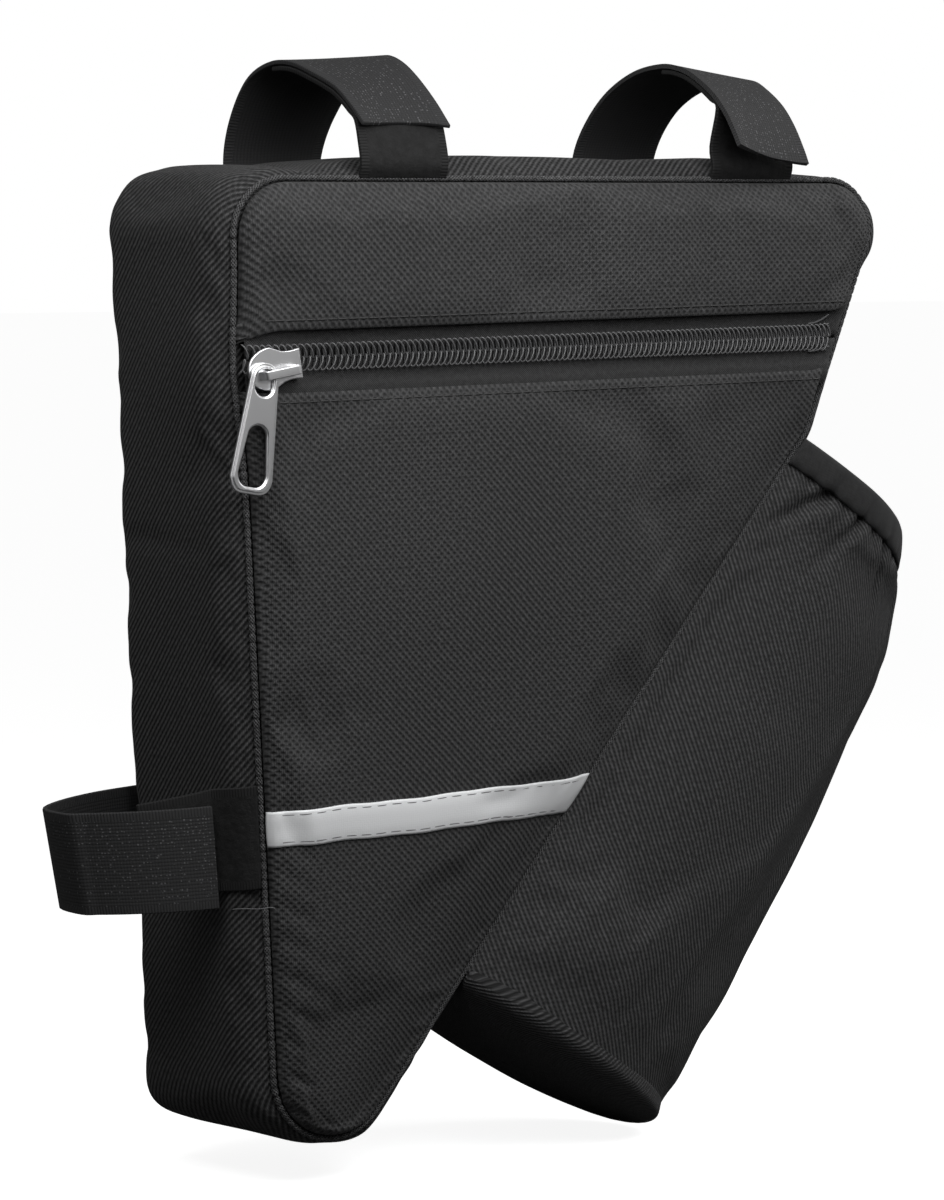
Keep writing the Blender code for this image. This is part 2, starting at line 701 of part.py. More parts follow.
def pocket_size(down):
    """How far the pocket stands out and half its width: gathered in at the mouth."""
    swell = 1.0 - (1.0 - min(down / POCKET_LENGTH, 1.0)) ** POCKET_SWELL
    return (MOUTH_DEPTH + (POCKET_DEPTH - MOUTH_DEPTH) * swell,
            MOUTH_HALF_WIDTH + (POCKET_HALF_WIDTH - MOUTH_HALF_WIDTH) * swell)


def pocket_slope(down, out):
    """How far a point that stands out from the bag is moved down the slanting side.

    The mouth and the base both rise towards their outer edges.
    """
    share = down / POCKET_LENGTH
    return -(MOUTH_RISE * (1.0 - share) + BASE_RISE * share) * out / pocket_size(down)[0]


def pocket_section(down, offset):
    """Down, out and across of the pocket's wall, front edge to rear edge.

    The offset moves the wall outwards.
    """
    depth, half = pocket_size(down)
    widest = depth * 0.42
    outer = depth - widest
    close = math.acos(HALF_DEPTH / half)
    inner = (widest - POCKET_EDGE) / math.sin(close)
    turns = [-math.pi / 2 - close * (4 - k) / 4 for k in range(4)]
    turns += [-math.pi / 2 + math.pi * k / 12 for k in range(13)]
    turns += [math.pi / 2 + close * (k + 1) / 4 for k in range(4)]
    points = []
    for turn in turns:
        reach = outer if abs(turn) <= math.pi / 2 + 1e-9 else inner
        skin = Vector((widest + reach * math.cos(turn), half * math.sin(turn)))
        normal = Vector((math.cos(turn) / reach, math.sin(turn) / half)).normalized()
        out, across = skin + normal * offset
        points.append((down + pocket_slope(down, skin.x), out, across))
    return points


def sweep_round_pocket(name, section, colour):
    """A band round the pocket: the section's points are distances down and offsets."""
    place = pocket_place()
    tracks = [pocket_section(down, offset) for down, offset in section]
    rings = [[place(*track[i]) for track in tracks] for i in range(len(tracks[0]))]
    return add_solid(name, loft(rings), colour)


def make_pocket():
    """The sleeve, its base, and the binding with the elastic that gathers the mouth."""
    half = POCKET_WALL / 2
    inside = half + LAYER_GAP
    outside = inside + BINDING_FABRIC
    elastic_top = 2 * BINDING_FABRIC
    sleeve_top = elastic_top + ELASTIC_WIDTH + LAYER_GAP
    downs = [sleeve_top + (POCKET_LENGTH - sleeve_top) * k / 9 for k in range(10)]
    sweep_round_pocket("pocket_sleeve", [(d, half) for d in downs]
                       + [(d, -half) for d in downs[::-1]], GUSSET_GREY)
    sweep_round_pocket("pocket_elastic", [
        (elastic_top, ELASTIC / 2), (elastic_top + ELASTIC_WIDTH, ELASTIC / 2),
        (elastic_top + ELASTIC_WIDTH, -ELASTIC / 2), (elastic_top, -ELASTIC / 2)], ELASTIC_GREY)
    sweep_round_pocket("pocket_binding", [
        (BINDING_WIDTH, outside), (BINDING_FABRIC, outside), (0.0, inside),
        (0.0, -inside), (BINDING_FABRIC, -outside), (BINDING_WIDTH, -outside),
        (BINDING_WIDTH, -inside), (elastic_top - LAYER_GAP, -inside),
        (elastic_top - LAYER_GAP, inside), (BINDING_WIDTH, inside)], LOOP_GREY)
    place = pocket_place()
    wall = [Vector(point[1:]) for point in pocket_section(POCKET_LENGTH, half)]
    bag_side = [Vector((h + 2 * SEAM_GAP, y)) for y, h in crown_profile(0.0)[::-1]]
    rim = wall + bag_side
    centre = Vector((POCKET_DEPTH / 2, 0.0))
    rings = []
    for scale, down in ((0.6, BASE_BULGE), (0.92, BASE_BULGE * 0.6), (1.0, 0.0),
                        (1.0, POCKET_WALL), (0.93, BASE_BULGE * 0.7 + POCKET_WALL),
                        (0.6, BASE_BULGE + POCKET_WALL)):
        ring = [centre + (p - centre) * scale for p in rim]
        level = POCKET_LENGTH + LAYER_GAP + down
        rings.append([place(level + pocket_slope(POCKET_LENGTH, out), out, y) for out, y in ring])
    add_solid("pocket_base", loft(rings), TAPE_GREY)


def build():
    """Makes every piece of the bag."""
    clear_scene()
    make_front()
    make_back()
    make_gusset("band", 0.0, FABRIC, 0.0, GUSSET_GREY)
    make_gusset("foam", FABRIC + LAYER_GAP, FOAM, FOAM_MARGIN, FOAM_GREY)
    make_welt("front_welt", -HALF_DEPTH)
    make_welt("back_welt", HALF_DEPTH)
    for word, side in (("upper", 1), ("lower", -1)):
        make_tape("zipper_tape_" + word, side)
        make_coil("zipper_coil_" + word, side)
    make_slider()
    make_pull()
    make_strip()
    make_top_strap("top_left", LEFT_STRAP_X, (
        (1.19, 0.24), (1.17, 0.48), (1.0, 0.72), (0.73, 0.9), (0.31, 0.98), (-0.11, 0.98),
        (-0.45, 0.88), (-0.75, 0.7), (-0.93, 0.55), (-1.04, 0.44)), 0.0, 0, 16)
    make_top_strap("top_right", RIGHT_STRAP_X, (
        (1.11, 0.22), (0.99, 0.43), (0.73, 0.66), (0.45, 0.8), (0.05, 0.9), (-0.35, 0.92),
        (-0.62, 0.84), (-0.88, 0.7), (-1.12, 0.5), (-1.3, 0.27)), 0.14, 4, 14)
    make_side_strap()
    make_pocket()


build()
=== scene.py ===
"""Looks of a bike frame bag: padded black twill, a coil zip and hook-and-loop straps.

The sections follow the bag as it is sewn together: panels, gussets, seams, zip,
reflective strip, straps and bottle pocket. Metres, +Z up, the zipped face looks
along -Y, and the origin is the middle of the top gusset's flat crown.
"""

import json
import math

import bmesh
import bpy
from mathutils import Quaternion, Vector, noise
from mathutils.bvhtree import BVHTree
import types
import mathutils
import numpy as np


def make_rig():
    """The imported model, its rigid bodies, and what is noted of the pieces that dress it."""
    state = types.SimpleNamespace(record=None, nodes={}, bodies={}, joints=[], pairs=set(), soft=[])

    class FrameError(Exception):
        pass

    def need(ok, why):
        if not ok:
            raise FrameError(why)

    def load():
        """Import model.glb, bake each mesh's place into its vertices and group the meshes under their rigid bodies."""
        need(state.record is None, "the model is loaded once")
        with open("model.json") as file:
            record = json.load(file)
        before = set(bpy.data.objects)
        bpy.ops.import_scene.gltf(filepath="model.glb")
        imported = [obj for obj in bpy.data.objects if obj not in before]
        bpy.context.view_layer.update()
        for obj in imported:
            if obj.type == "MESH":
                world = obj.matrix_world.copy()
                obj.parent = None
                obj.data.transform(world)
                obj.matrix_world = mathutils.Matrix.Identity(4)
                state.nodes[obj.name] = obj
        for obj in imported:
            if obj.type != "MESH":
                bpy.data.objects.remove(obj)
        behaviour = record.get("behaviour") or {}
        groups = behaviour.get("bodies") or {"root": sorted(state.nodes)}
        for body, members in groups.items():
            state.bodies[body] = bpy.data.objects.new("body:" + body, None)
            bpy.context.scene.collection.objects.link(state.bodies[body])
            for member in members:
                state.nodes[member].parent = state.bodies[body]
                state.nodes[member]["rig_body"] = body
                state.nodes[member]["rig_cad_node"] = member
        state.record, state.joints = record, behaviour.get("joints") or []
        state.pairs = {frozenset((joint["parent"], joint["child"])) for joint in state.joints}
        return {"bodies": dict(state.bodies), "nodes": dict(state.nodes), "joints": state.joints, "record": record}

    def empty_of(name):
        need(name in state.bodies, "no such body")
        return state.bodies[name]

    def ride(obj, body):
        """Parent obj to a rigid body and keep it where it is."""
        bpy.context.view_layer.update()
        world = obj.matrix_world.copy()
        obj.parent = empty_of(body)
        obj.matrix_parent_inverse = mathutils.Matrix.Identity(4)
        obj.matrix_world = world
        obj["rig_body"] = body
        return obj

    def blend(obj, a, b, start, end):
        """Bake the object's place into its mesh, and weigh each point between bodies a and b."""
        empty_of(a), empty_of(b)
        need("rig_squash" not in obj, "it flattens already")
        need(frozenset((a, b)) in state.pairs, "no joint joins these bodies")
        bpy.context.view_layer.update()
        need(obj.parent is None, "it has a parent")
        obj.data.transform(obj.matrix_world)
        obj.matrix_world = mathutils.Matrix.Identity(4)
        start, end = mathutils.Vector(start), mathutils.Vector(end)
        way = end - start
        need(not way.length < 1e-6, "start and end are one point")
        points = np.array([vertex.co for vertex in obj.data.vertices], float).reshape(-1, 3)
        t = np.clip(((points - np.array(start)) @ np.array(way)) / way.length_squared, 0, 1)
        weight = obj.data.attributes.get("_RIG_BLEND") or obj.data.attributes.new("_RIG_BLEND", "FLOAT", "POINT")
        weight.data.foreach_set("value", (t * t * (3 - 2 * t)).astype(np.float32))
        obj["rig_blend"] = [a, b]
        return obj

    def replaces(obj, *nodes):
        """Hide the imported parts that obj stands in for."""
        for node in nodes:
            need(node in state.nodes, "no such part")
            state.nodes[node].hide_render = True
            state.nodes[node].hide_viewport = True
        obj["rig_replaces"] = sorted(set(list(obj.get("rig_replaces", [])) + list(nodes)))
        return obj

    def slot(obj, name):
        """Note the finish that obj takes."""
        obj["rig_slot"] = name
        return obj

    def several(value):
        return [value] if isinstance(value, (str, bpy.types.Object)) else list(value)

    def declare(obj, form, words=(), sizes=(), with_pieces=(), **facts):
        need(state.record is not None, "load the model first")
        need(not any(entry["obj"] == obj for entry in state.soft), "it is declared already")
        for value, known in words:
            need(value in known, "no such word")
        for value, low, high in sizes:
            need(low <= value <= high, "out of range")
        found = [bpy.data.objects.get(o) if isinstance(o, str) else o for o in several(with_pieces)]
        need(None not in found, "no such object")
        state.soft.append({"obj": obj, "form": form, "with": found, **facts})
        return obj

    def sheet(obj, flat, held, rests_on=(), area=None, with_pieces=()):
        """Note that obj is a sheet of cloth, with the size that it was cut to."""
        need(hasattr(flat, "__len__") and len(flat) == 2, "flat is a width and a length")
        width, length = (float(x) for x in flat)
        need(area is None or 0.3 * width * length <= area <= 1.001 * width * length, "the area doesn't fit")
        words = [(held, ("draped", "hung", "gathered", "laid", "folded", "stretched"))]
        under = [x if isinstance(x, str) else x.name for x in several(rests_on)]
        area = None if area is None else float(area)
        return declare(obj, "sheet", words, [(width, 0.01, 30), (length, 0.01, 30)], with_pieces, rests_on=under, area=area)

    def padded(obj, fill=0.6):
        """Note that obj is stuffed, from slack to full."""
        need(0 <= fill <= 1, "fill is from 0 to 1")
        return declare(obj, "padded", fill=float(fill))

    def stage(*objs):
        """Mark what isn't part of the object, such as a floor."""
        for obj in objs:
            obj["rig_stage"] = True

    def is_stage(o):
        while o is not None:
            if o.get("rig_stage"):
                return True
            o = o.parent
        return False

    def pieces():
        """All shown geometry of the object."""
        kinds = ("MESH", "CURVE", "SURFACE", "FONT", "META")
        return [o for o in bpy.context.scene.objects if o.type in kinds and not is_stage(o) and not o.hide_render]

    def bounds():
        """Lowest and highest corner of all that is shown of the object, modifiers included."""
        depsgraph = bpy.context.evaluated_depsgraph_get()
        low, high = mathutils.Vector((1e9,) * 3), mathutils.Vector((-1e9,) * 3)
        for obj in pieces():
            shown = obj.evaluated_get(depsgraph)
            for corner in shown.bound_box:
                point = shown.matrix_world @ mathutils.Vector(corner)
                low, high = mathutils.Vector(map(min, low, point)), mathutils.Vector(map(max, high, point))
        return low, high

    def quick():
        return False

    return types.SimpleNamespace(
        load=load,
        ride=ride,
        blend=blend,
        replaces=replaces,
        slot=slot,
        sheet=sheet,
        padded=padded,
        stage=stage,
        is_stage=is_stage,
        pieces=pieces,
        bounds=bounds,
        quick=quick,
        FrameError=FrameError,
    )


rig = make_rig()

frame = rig.load()
cad_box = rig.bounds()
bpy.ops.object.select_all(action="DESELECT")


# Camera. It stands at the bag's left front, slightly above the zip, about 1.3 m away,
# with a long lens whose focal length is given in pixels of the photograph.
PHOTO_HEIGHT = 1200
FOCAL_PIXELS = 5050
SENSOR = 36.0
CAMERA_AT = Vector((-0.710, -1.067, -0.0215))
CAMERA_YAW = math.radians(33.2)
CAMERA_DIP = math.radians(4.0)
CAMERA_ROLL = math.radians(-0.3)

gaze = Vector((math.sin(CAMERA_YAW) * math.cos(CAMERA_DIP),
               math.cos(CAMERA_YAW) * math.cos(CAMERA_DIP), -math.sin(CAMERA_DIP)))
tilt = gaze.to_track_quat("-Z", "Y") @ Quaternion((0.0, 0.0, 1.0), CAMERA_ROLL)
bpy.ops.object.camera_add(location=CAMERA_AT, rotation=tilt.to_euler())
camera = bpy.context.object
camera.data.sensor_width = SENSOR
camera.data.lens = SENSOR * FOCAL_PIXELS / PHOTO_HEIGHT
camera.data.clip_end = 50.0
bpy.context.scene.camera = camera
bpy.context.scene.view_settings.view_transform = "Standard"


# Studio. A white table and surround, a soft lamp above the front and weaker ones at the
# left and right. The table shows white to the lens and returns little light.
TABLE_SIZE = 30.0
TABLE_GAP = 0.0006
LAMPS = (
    ("key_lamp", (-0.05, -0.30, 0.14), 0.28, 1.1),
    ("left_lamp", (-0.34, -0.12, 0.25), 0.28, 0.78),
    ("right_lamp", (0.55, -0.10, 0.22), 0.4, 1.2),
)
LAMP_AIM = Vector((0.0, 0.0, -0.08))
TABLE_SEEN = (0.8, 0.8, 0.8, 1)
TABLE_LIT = (0.12, 0.12, 0.12, 1)
TABLE_GLOW = 0.90
WHITE = (1, 1, 1, 1)

bpy.ops.mesh.primitive_plane_add(size=TABLE_SIZE, location=(0, 0, cad_box[0].z - TABLE_GAP))
table = bpy.context.object
table.name = "table"
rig.stage(table)


def maths_in(tree):
    """A function that adds a maths node to a tree and gives its output."""

    def sums(operation, *values):
        node = tree.nodes.new("ShaderNodeMath")
        node.operation = operation
        for socket, value in zip(node.inputs, values):
            if isinstance(value, float):
                socket.default_value = value
            else:
                tree.links.new(value, socket)
        return node.outputs[0]

    return sums


def ramp(tree, source, start, end, low=0.0, high=1.0):
    """A value that goes from low to high while its source goes from start to end."""
    node = tree.nodes.new("ShaderNodeMapRange")
    sockets = ("From Min", "From Max", "To Min", "To Max")
    for socket, value in zip(sockets, (start, end, low, high)):
        node.inputs[socket].default_value = value
    tree.links.new(source, node.inputs["Value"])
    return node.outputs["Result"]


def table_finish():
    """White to the lens with a faint shadow, dull to the light that strikes the bag."""
    made = bpy.data.materials.new("white_table")
    made.use_nodes = True
    nodes, links = made.node_tree.nodes, made.node_tree.links
    nodes.clear()
    seen = nodes.new("ShaderNodeLightPath").outputs["Is Camera Ray"]
    top = nodes.new("ShaderNodeBsdfDiffuse")
    top.inputs["Color"].default_value = TABLE_SEEN
    dull = nodes.new("ShaderNodeBsdfDiffuse")
    dull.inputs["Color"].default_value = TABLE_LIT
    glow = nodes.new("ShaderNodeEmission")
    glow.inputs["Strength"].default_value = TABLE_GLOW
    lit = nodes.new("ShaderNodeAddShader")
    links.new(top.outputs[0], lit.inputs[0])
    links.new(glow.outputs[0], lit.inputs[1])
    either = nodes.new("ShaderNodeMixShader")
    links.new(seen, either.inputs[0])
    links.new(dull.outputs[0], either.inputs[1])
    links.new(lit.outputs[0], either.inputs[2])
    links.new(either.outputs[0], nodes.new("ShaderNodeOutputMaterial").inputs["Surface"])
    return made


def surround():
    """White where it is looked at, and a soft light, stronger from above and in front."""
    world = bpy.data.worlds.new("white_surround")
    bpy.context.scene.world = world
    world.use_nodes = True
    nodes, links = world.node_tree.nodes, world.node_tree.links
    nodes.clear()
    place = nodes.new("ShaderNodeTexCoord")
    split = nodes.new("ShaderNodeSeparateXYZ")
    links.new(place.outputs["Generated"], split.inputs[0])
    height = ramp(world.node_tree, split.outputs["Z"], -0.5, 0.9, 0.01, 0.11)
    ahead = ramp(world.node_tree, split.outputs["Y"], -0.4, 0.4, 8.5, 1.0)
    soft, white, mirrored = (nodes.new("ShaderNodeBackground") for _ in range(3))
    for light in (soft, white, mirrored):
        light.inputs["Color"].default_value = WHITE
    white.inputs["Strength"].default_value = 1.0
    links.new(height, soft.inputs["Strength"])
    links.new(maths_in(world.node_tree)("MULTIPLY", height, ahead), mirrored.inputs["Strength"])
    ray = nodes.new("ShaderNodeLightPath")
    joined = soft.outputs[0]
    for word, light in (("Is Glossy Ray", mirrored), ("Is Camera Ray", white)):
        either = nodes.new("ShaderNodeMixShader")
        links.new(ray.outputs[word], either.inputs[0])
        links.new(joined, either.inputs[1])
        links.new(light.outputs[0], either.inputs[2])
        joined = either.outputs[0]
    links.new(joined, nodes.new("ShaderNodeOutputWorld").inputs["Surface"])


table.data.materials.append(table_finish())
surround()
for lamp_name, lamp_at, lamp_size, lamp_watts in LAMPS:
    aim = (LAMP_AIM - Vector(lamp_at)).to_track_quat("-Z", "Y").to_euler()
    bpy.ops.object.light_add(type="AREA", location=lamp_at, rotation=aim)
    lamp = bpy.context.object
    lamp.name = lamp_name
    lamp.data.size = lamp_size
    lamp.data.energy = lamp_watts


# Front panel. Black polyester twill over thin foam, in two pieces: each has its long
# edge folded back along the zip, and its other edges sewn into the seam round the bag.
TOP_LENGTH = 0.196
LEFT_LEAN = 0.0118
TIP_DROP = 0.2605
SHOULDER_IN = 0.0255
SHOULDER_DROP = 0.064
BAG_DEPTH = 0.058
CROWN = 0.005
SEAM_Z = -CROWN
HALF_DEPTH = BAG_DEPTH / 2
CORNERS = (
    (-TOP_LENGTH / 2, SEAM_Z, 0.0135),
    (TOP_LENGTH / 2, SEAM_Z, 0.0125),
    (TOP_LENGTH / 2 - SHOULDER_IN, SEAM_Z - SHOULDER_DROP, 0.030),
    (-TOP_LENGTH / 2 + LEFT_LEAN, SEAM_Z - TIP_DROP, 0.0165),
)
TOP_SIDE, RIGHT_SIDE, DIAGONAL_SIDE, LEFT_SIDE = range(4)
CLOTH = 0.0009
PANEL_PUFF = 0.005
PANEL_ROLL = 0.0085
PANEL_EDGE = 0.0007
SLANT_ROLL = 0.017
GUSSET_EDGE = 0.0010
TIGHTEST_BEND = 0.05
ZIP_Z = SEAM_Z - 0.0413
ZIP_TILT = math.radians(1.0)
ZIP_SLOPE = math.tan(ZIP_TILT)
ZIP_WINDOW = 0.0155
FOLD_OFFSETS = {1: 0.0069, -1: 0.0087}
PANEL_CELL = 0.0026
ROW_CROWDING = 1.6
HEM_FLAP = 0.004
HEM_ROUND = 0.0008
YARN = 0.00046
CLOTH_WAVE = 0.0007
SLANT_SPAN = (0.056, 0.076)
PUCKER_SPAN = (0.160, 0.185)
PUCKER_INSET = 0.005
PUCKER_SPREAD = 0.0035
PUCKER_TURNS = 780
PUCKER_SINK = 0.16
FOLD_START = 0.0006
FOLD_DROP = 0.0030
FOLD_LIFT = 0.0019
FOLD_ENDS = (0.0095, 0.0075)
SEAM_BOW = 0.0018
BOW_Z = -0.050
BOW_SPREAD = 0.018
BOW_REACH = 0.040
BOW_FRONT = 0.02


def side_line(side):
    """Start, direction and inward normal of one side of the outline, in X and Z."""
    start, end = Vector(CORNERS[side][:2]), Vector(CORNERS[(side + 1) % 4][:2])
    along = (end - start).normalized()
    return start, along, Vector((along.y, -along.x))


def outline(inset, arc_step=0.0016, side_step=0.003):
    """Points round the bag at an inset from the seam line, clockwise from the top left.

    Each is a point in X and Z. Loops at different insets match point for point.
    """
    corners = []
    for corner, (_, _, radius) in enumerate(CORNERS):
        before, along_in, normal_in = side_line((corner - 1) % 4)
        after, along_out, normal_out = side_line(corner)
        p, q = before + normal_in * inset, after + normal_out * inset
        turn = along_in.angle(along_out)
        cross = along_in.x * along_out.y - along_in.y * along_out.x
        tip = p + along_in * (((q - p).x * along_out.y - (q - p).y * along_out.x) / cross)
        bend = max(radius - inset, radius * TIGHTEST_BEND)
        arm = -normal_in * bend
        centre = tip - along_in * bend * math.tan(turn / 2) - arm
        steps = max(6, round(radius * turn / arc_step))
        arc = []
        for step in range(steps + 1):
            cos, sin = math.cos(turn * step / steps), -math.sin(turn * step / steps)
            arc.append(centre + Vector((arm.x * cos - arm.y * sin, arm.x * sin + arm.y * cos)))
        corners.append(arc)
    points = []
    for corner, arc in enumerate(corners):
        points += arc
        length = (Vector(CORNERS[(corner + 1) % 4][:2]) - Vector(CORNERS[corner][:2])).length
        steps = round(length / side_step)
        following = corners[(corner + 1) % 4][0]
        points += [arc[-1].lerp(following, step / steps) for step in range(1, steps)]
    return points


def corner_arc(corner):
    """Centre of a corner's arc, and the directions in which the outline passes it."""
    _, along_in, normal_in = side_line((corner - 1) % 4)
    _, along_out, _ = side_line(corner)
    tip, radius = Vector(CORNERS[corner][:2]), CORNERS[corner][2]
    reach = radius * math.tan(along_in.angle(along_out) / 2)
    return tip - along_in * reach + normal_in * radius, along_in, along_out


SIDE_LINES = [side_line(side) for side in range(4)]
CORNER_ARCS = [corner_arc(corner) for corner in range(4)]


def inset_at(x, z):
    """How far a point lies inside the rounded outline."""
    here = Vector((x, z))
    inset = min((here - start).dot(normal) for start, _, normal in SIDE_LINES)
    for (centre, along_in, along_out), (_, _, radius) in zip(CORNER_ARCS, CORNERS):
        arm = here - centre
        if arm.dot(along_in) > 0 > arm.dot(along_out):
            inset = min(inset, radius - arm.length)
    return inset


def bowed(point):
    """Moves a point with the left front seam, which bows out where the zip goes into it."""
    start, _, inward = SIDE_LINES[LEFT_SIDE]
    share = min(max(1.0 - (Vector((point.x, point.z)) - start).dot(inward) / BOW_REACH, 0.0), 1.0)
    front = min(max((BOW_FRONT - point.y) / (2 * BOW_FRONT), 0.0), 1.0)
    height = math.exp(-((point.z - BOW_Z) / BOW_SPREAD) ** 2)
    return point - Vector((SEAM_BOW * share ** 2 * (3 - 2 * share) * front * height, 0.0, 0.0))


def eased(value, start, end):
    """How far a value has come from start to end, from 0 to 1 with soft ends."""
    share = min(max((value - start) / (end - start), 0.0), 1.0)
    return share * share * (3 - 2 * share)


def rolled(inset, start, reach):
    """Share of its full height that a soft edge has risen to, from 0 to 1."""
    share = min(max((inset - start) / reach, 0.0), 1.0)
    return math.sqrt(1.0 - (1.0 - share) ** 2)


def span_at(loop, base_z, slope):
    """Where the line z = base_z + slope x enters and leaves a loop of points."""
    cuts = []
    for a, b in zip(loop, loop[1:] + loop[:1]):
        over_a, over_b = a.y - base_z - slope * a.x, b.y - base_z - slope * b.x
        if (over_a > 0) != (over_b > 0):
            cuts.append(a.lerp(b, over_a / (over_a - over_b)).x)
    return min(cuts), max(cuts)


def sewn_depth(x, z):
    """How far a panel's outer face lies from the bag's middle plane.

    The edge rolls gently on the slanting side and is puckered low on the left side.
    """
    inset = inset_at(x, z)
    soft = rolled(inset, PANEL_EDGE, PANEL_ROLL)
    start, _, inward = SIDE_LINES[DIAGONAL_SIDE]
    away = min(max((Vector((x, z)) - start).dot(inward) / SLANT_ROLL, 0.0), 1.0)
    gentle = 1.0 - (1.0 - away) ** 2
    soft -= max(0.0, soft - gentle) * eased(-z, *SLANT_SPAN)
    wave = noise.noise(Vector((x * 26, z * 26, 3.1))) * CLOTH_WAVE
    start, _, inward = SIDE_LINES[LEFT_SIDE]
    from_left = (Vector((x, z)) - start).dot(inward)
    flank = math.exp(-((from_left - PUCKER_INSET) / PUCKER_SPREAD) ** 2)
    pucker = max(0.0, math.sin((z + 0.5 * x) * PUCKER_TURNS)) ** 3 * eased(-z, *PUCKER_SPAN)
    soft -= PUCKER_SINK * pucker * flank
    return HALF_DEPTH + PANEL_PUFF * soft + wave * min(1.0, inset / 0.012)


def cloth_grid(name, rows):
    """A sheet of quads through rows of (point, cloth coordinates in metres)."""
    across, down = len(rows[0]) - 1, len(rows) - 1
    bpy.ops.mesh.primitive_grid_add(x_subdivisions=across, y_subdivisions=down, size=1.0)
    sheet = bpy.context.object
    sheet.name = sheet.data.name = name
    mesh = sheet.data
    spots = []
    for vertex in mesh.vertices:
        row = rows[round((vertex.co.y + 0.5) * down)]
        spots.append(row[round((vertex.co.x + 0.5) * across)])
    mesh.uv_layers[0].name = "cloth"
    layer = mesh.uv_layers["cloth"].data
    for loop in mesh.loops:
        layer[loop.index].uv = spots[loop.vertex_index][1]
    for vertex, (point, _) in zip(mesh.vertices, spots):
        vertex.co = point
    bpy.ops.object.mode_set(mode="EDIT")
    bpy.ops.mesh.select_all(action="SELECT")
    bpy.ops.mesh.remove_doubles(threshold=1e-6)
    bpy.ops.object.mode_set(mode="OBJECT")
    bpy.ops.object.shade_smooth()
    return sheet


def face_away(sheet, middle):
    """Turns a sheet's faces so that they look away from a point inside the bag."""
    total = sum((f.center - middle).dot(f.normal) * f.area for f in sheet.data.polygons)
    if total < 0:
        sheet.data.flip_normals()


def finished(piece, modifier):
    """Applies a piece's modifier."""
    bpy.context.view_layer.objects.active = piece
    bpy.ops.object.modifier_apply(modifier=modifier.name)


def face_outwards(piece):
    """Turns a closed piece's faces outwards."""
    bpy.context.view_layer.objects.active = piece
    bpy.ops.object.mode_set(mode="EDIT")
    bpy.ops.mesh.select_all(action="SELECT")
    bpy.ops.mesh.normals_make_consistent(inside=False)
    bpy.ops.object.mode_set(mode="OBJECT")


def settle(sheet, held, pressure, slack, cap, frames=16):
    """Lets cloth settle with its held points sewn fast, then limits how far it moved."""
    rest = [v.co.copy() for v in sheet.data.vertices]
    sewn = sheet.vertex_groups.new(name="sewn")
    sewn.add([i for i, co in enumerate(rest) if held(co)], 1.0, "REPLACE")
    cloth = sheet.modifiers.new("settle", "CLOTH")
    cloth.settings.quality = 6
    cloth.settings.mass = 0.25
    cloth.settings.tension_stiffness = cloth.settings.compression_stiffness = 18.0
    cloth.settings.bending_stiffness = 0.6
    cloth.settings.vertex_group_mass = "sewn"
    cloth.settings.use_pressure = True
    cloth.settings.uniform_pressure_force = pressure
    cloth.settings.shrink_min = -slack
    cloth.settings.effector_weights.gravity = 0.0
    cloth.collision_settings.use_collision = False
    cloth.point_cache.frame_start, cloth.point_cache.frame_end = 1, frames
    for step in range(1, frames + 1):
        bpy.context.scene.frame_set(step)
    finished(sheet, cloth)
    for vertex, co in zip(sheet.data.vertices, rest):
        step = vertex.co - co
        if step.length > cap:
            vertex.co = co + step.normalized() * cap
    sheet.vertex_groups.clear()
    bpy.context.scene.frame_set(1)


def thicken(sheet, thickness):
    """Gives a sheet its thickness on the inner side, once its shape is final."""
    wall = sheet.modifiers.new("wall", "SOLIDIFY")
    wall.thickness = thickness
    wall.offset = -1.0
    finished(sheet, wall)


def refine(sheet, levels=1):
    """Smooths a sheet's quads into finer ones."""
    soft = sheet.modifiers.new("soft", "SUBSURF")
    soft.levels = soft.render_levels = levels
    soft.boundary_smooth = "PRESERVE_CORNERS"
    finished(sheet, soft)


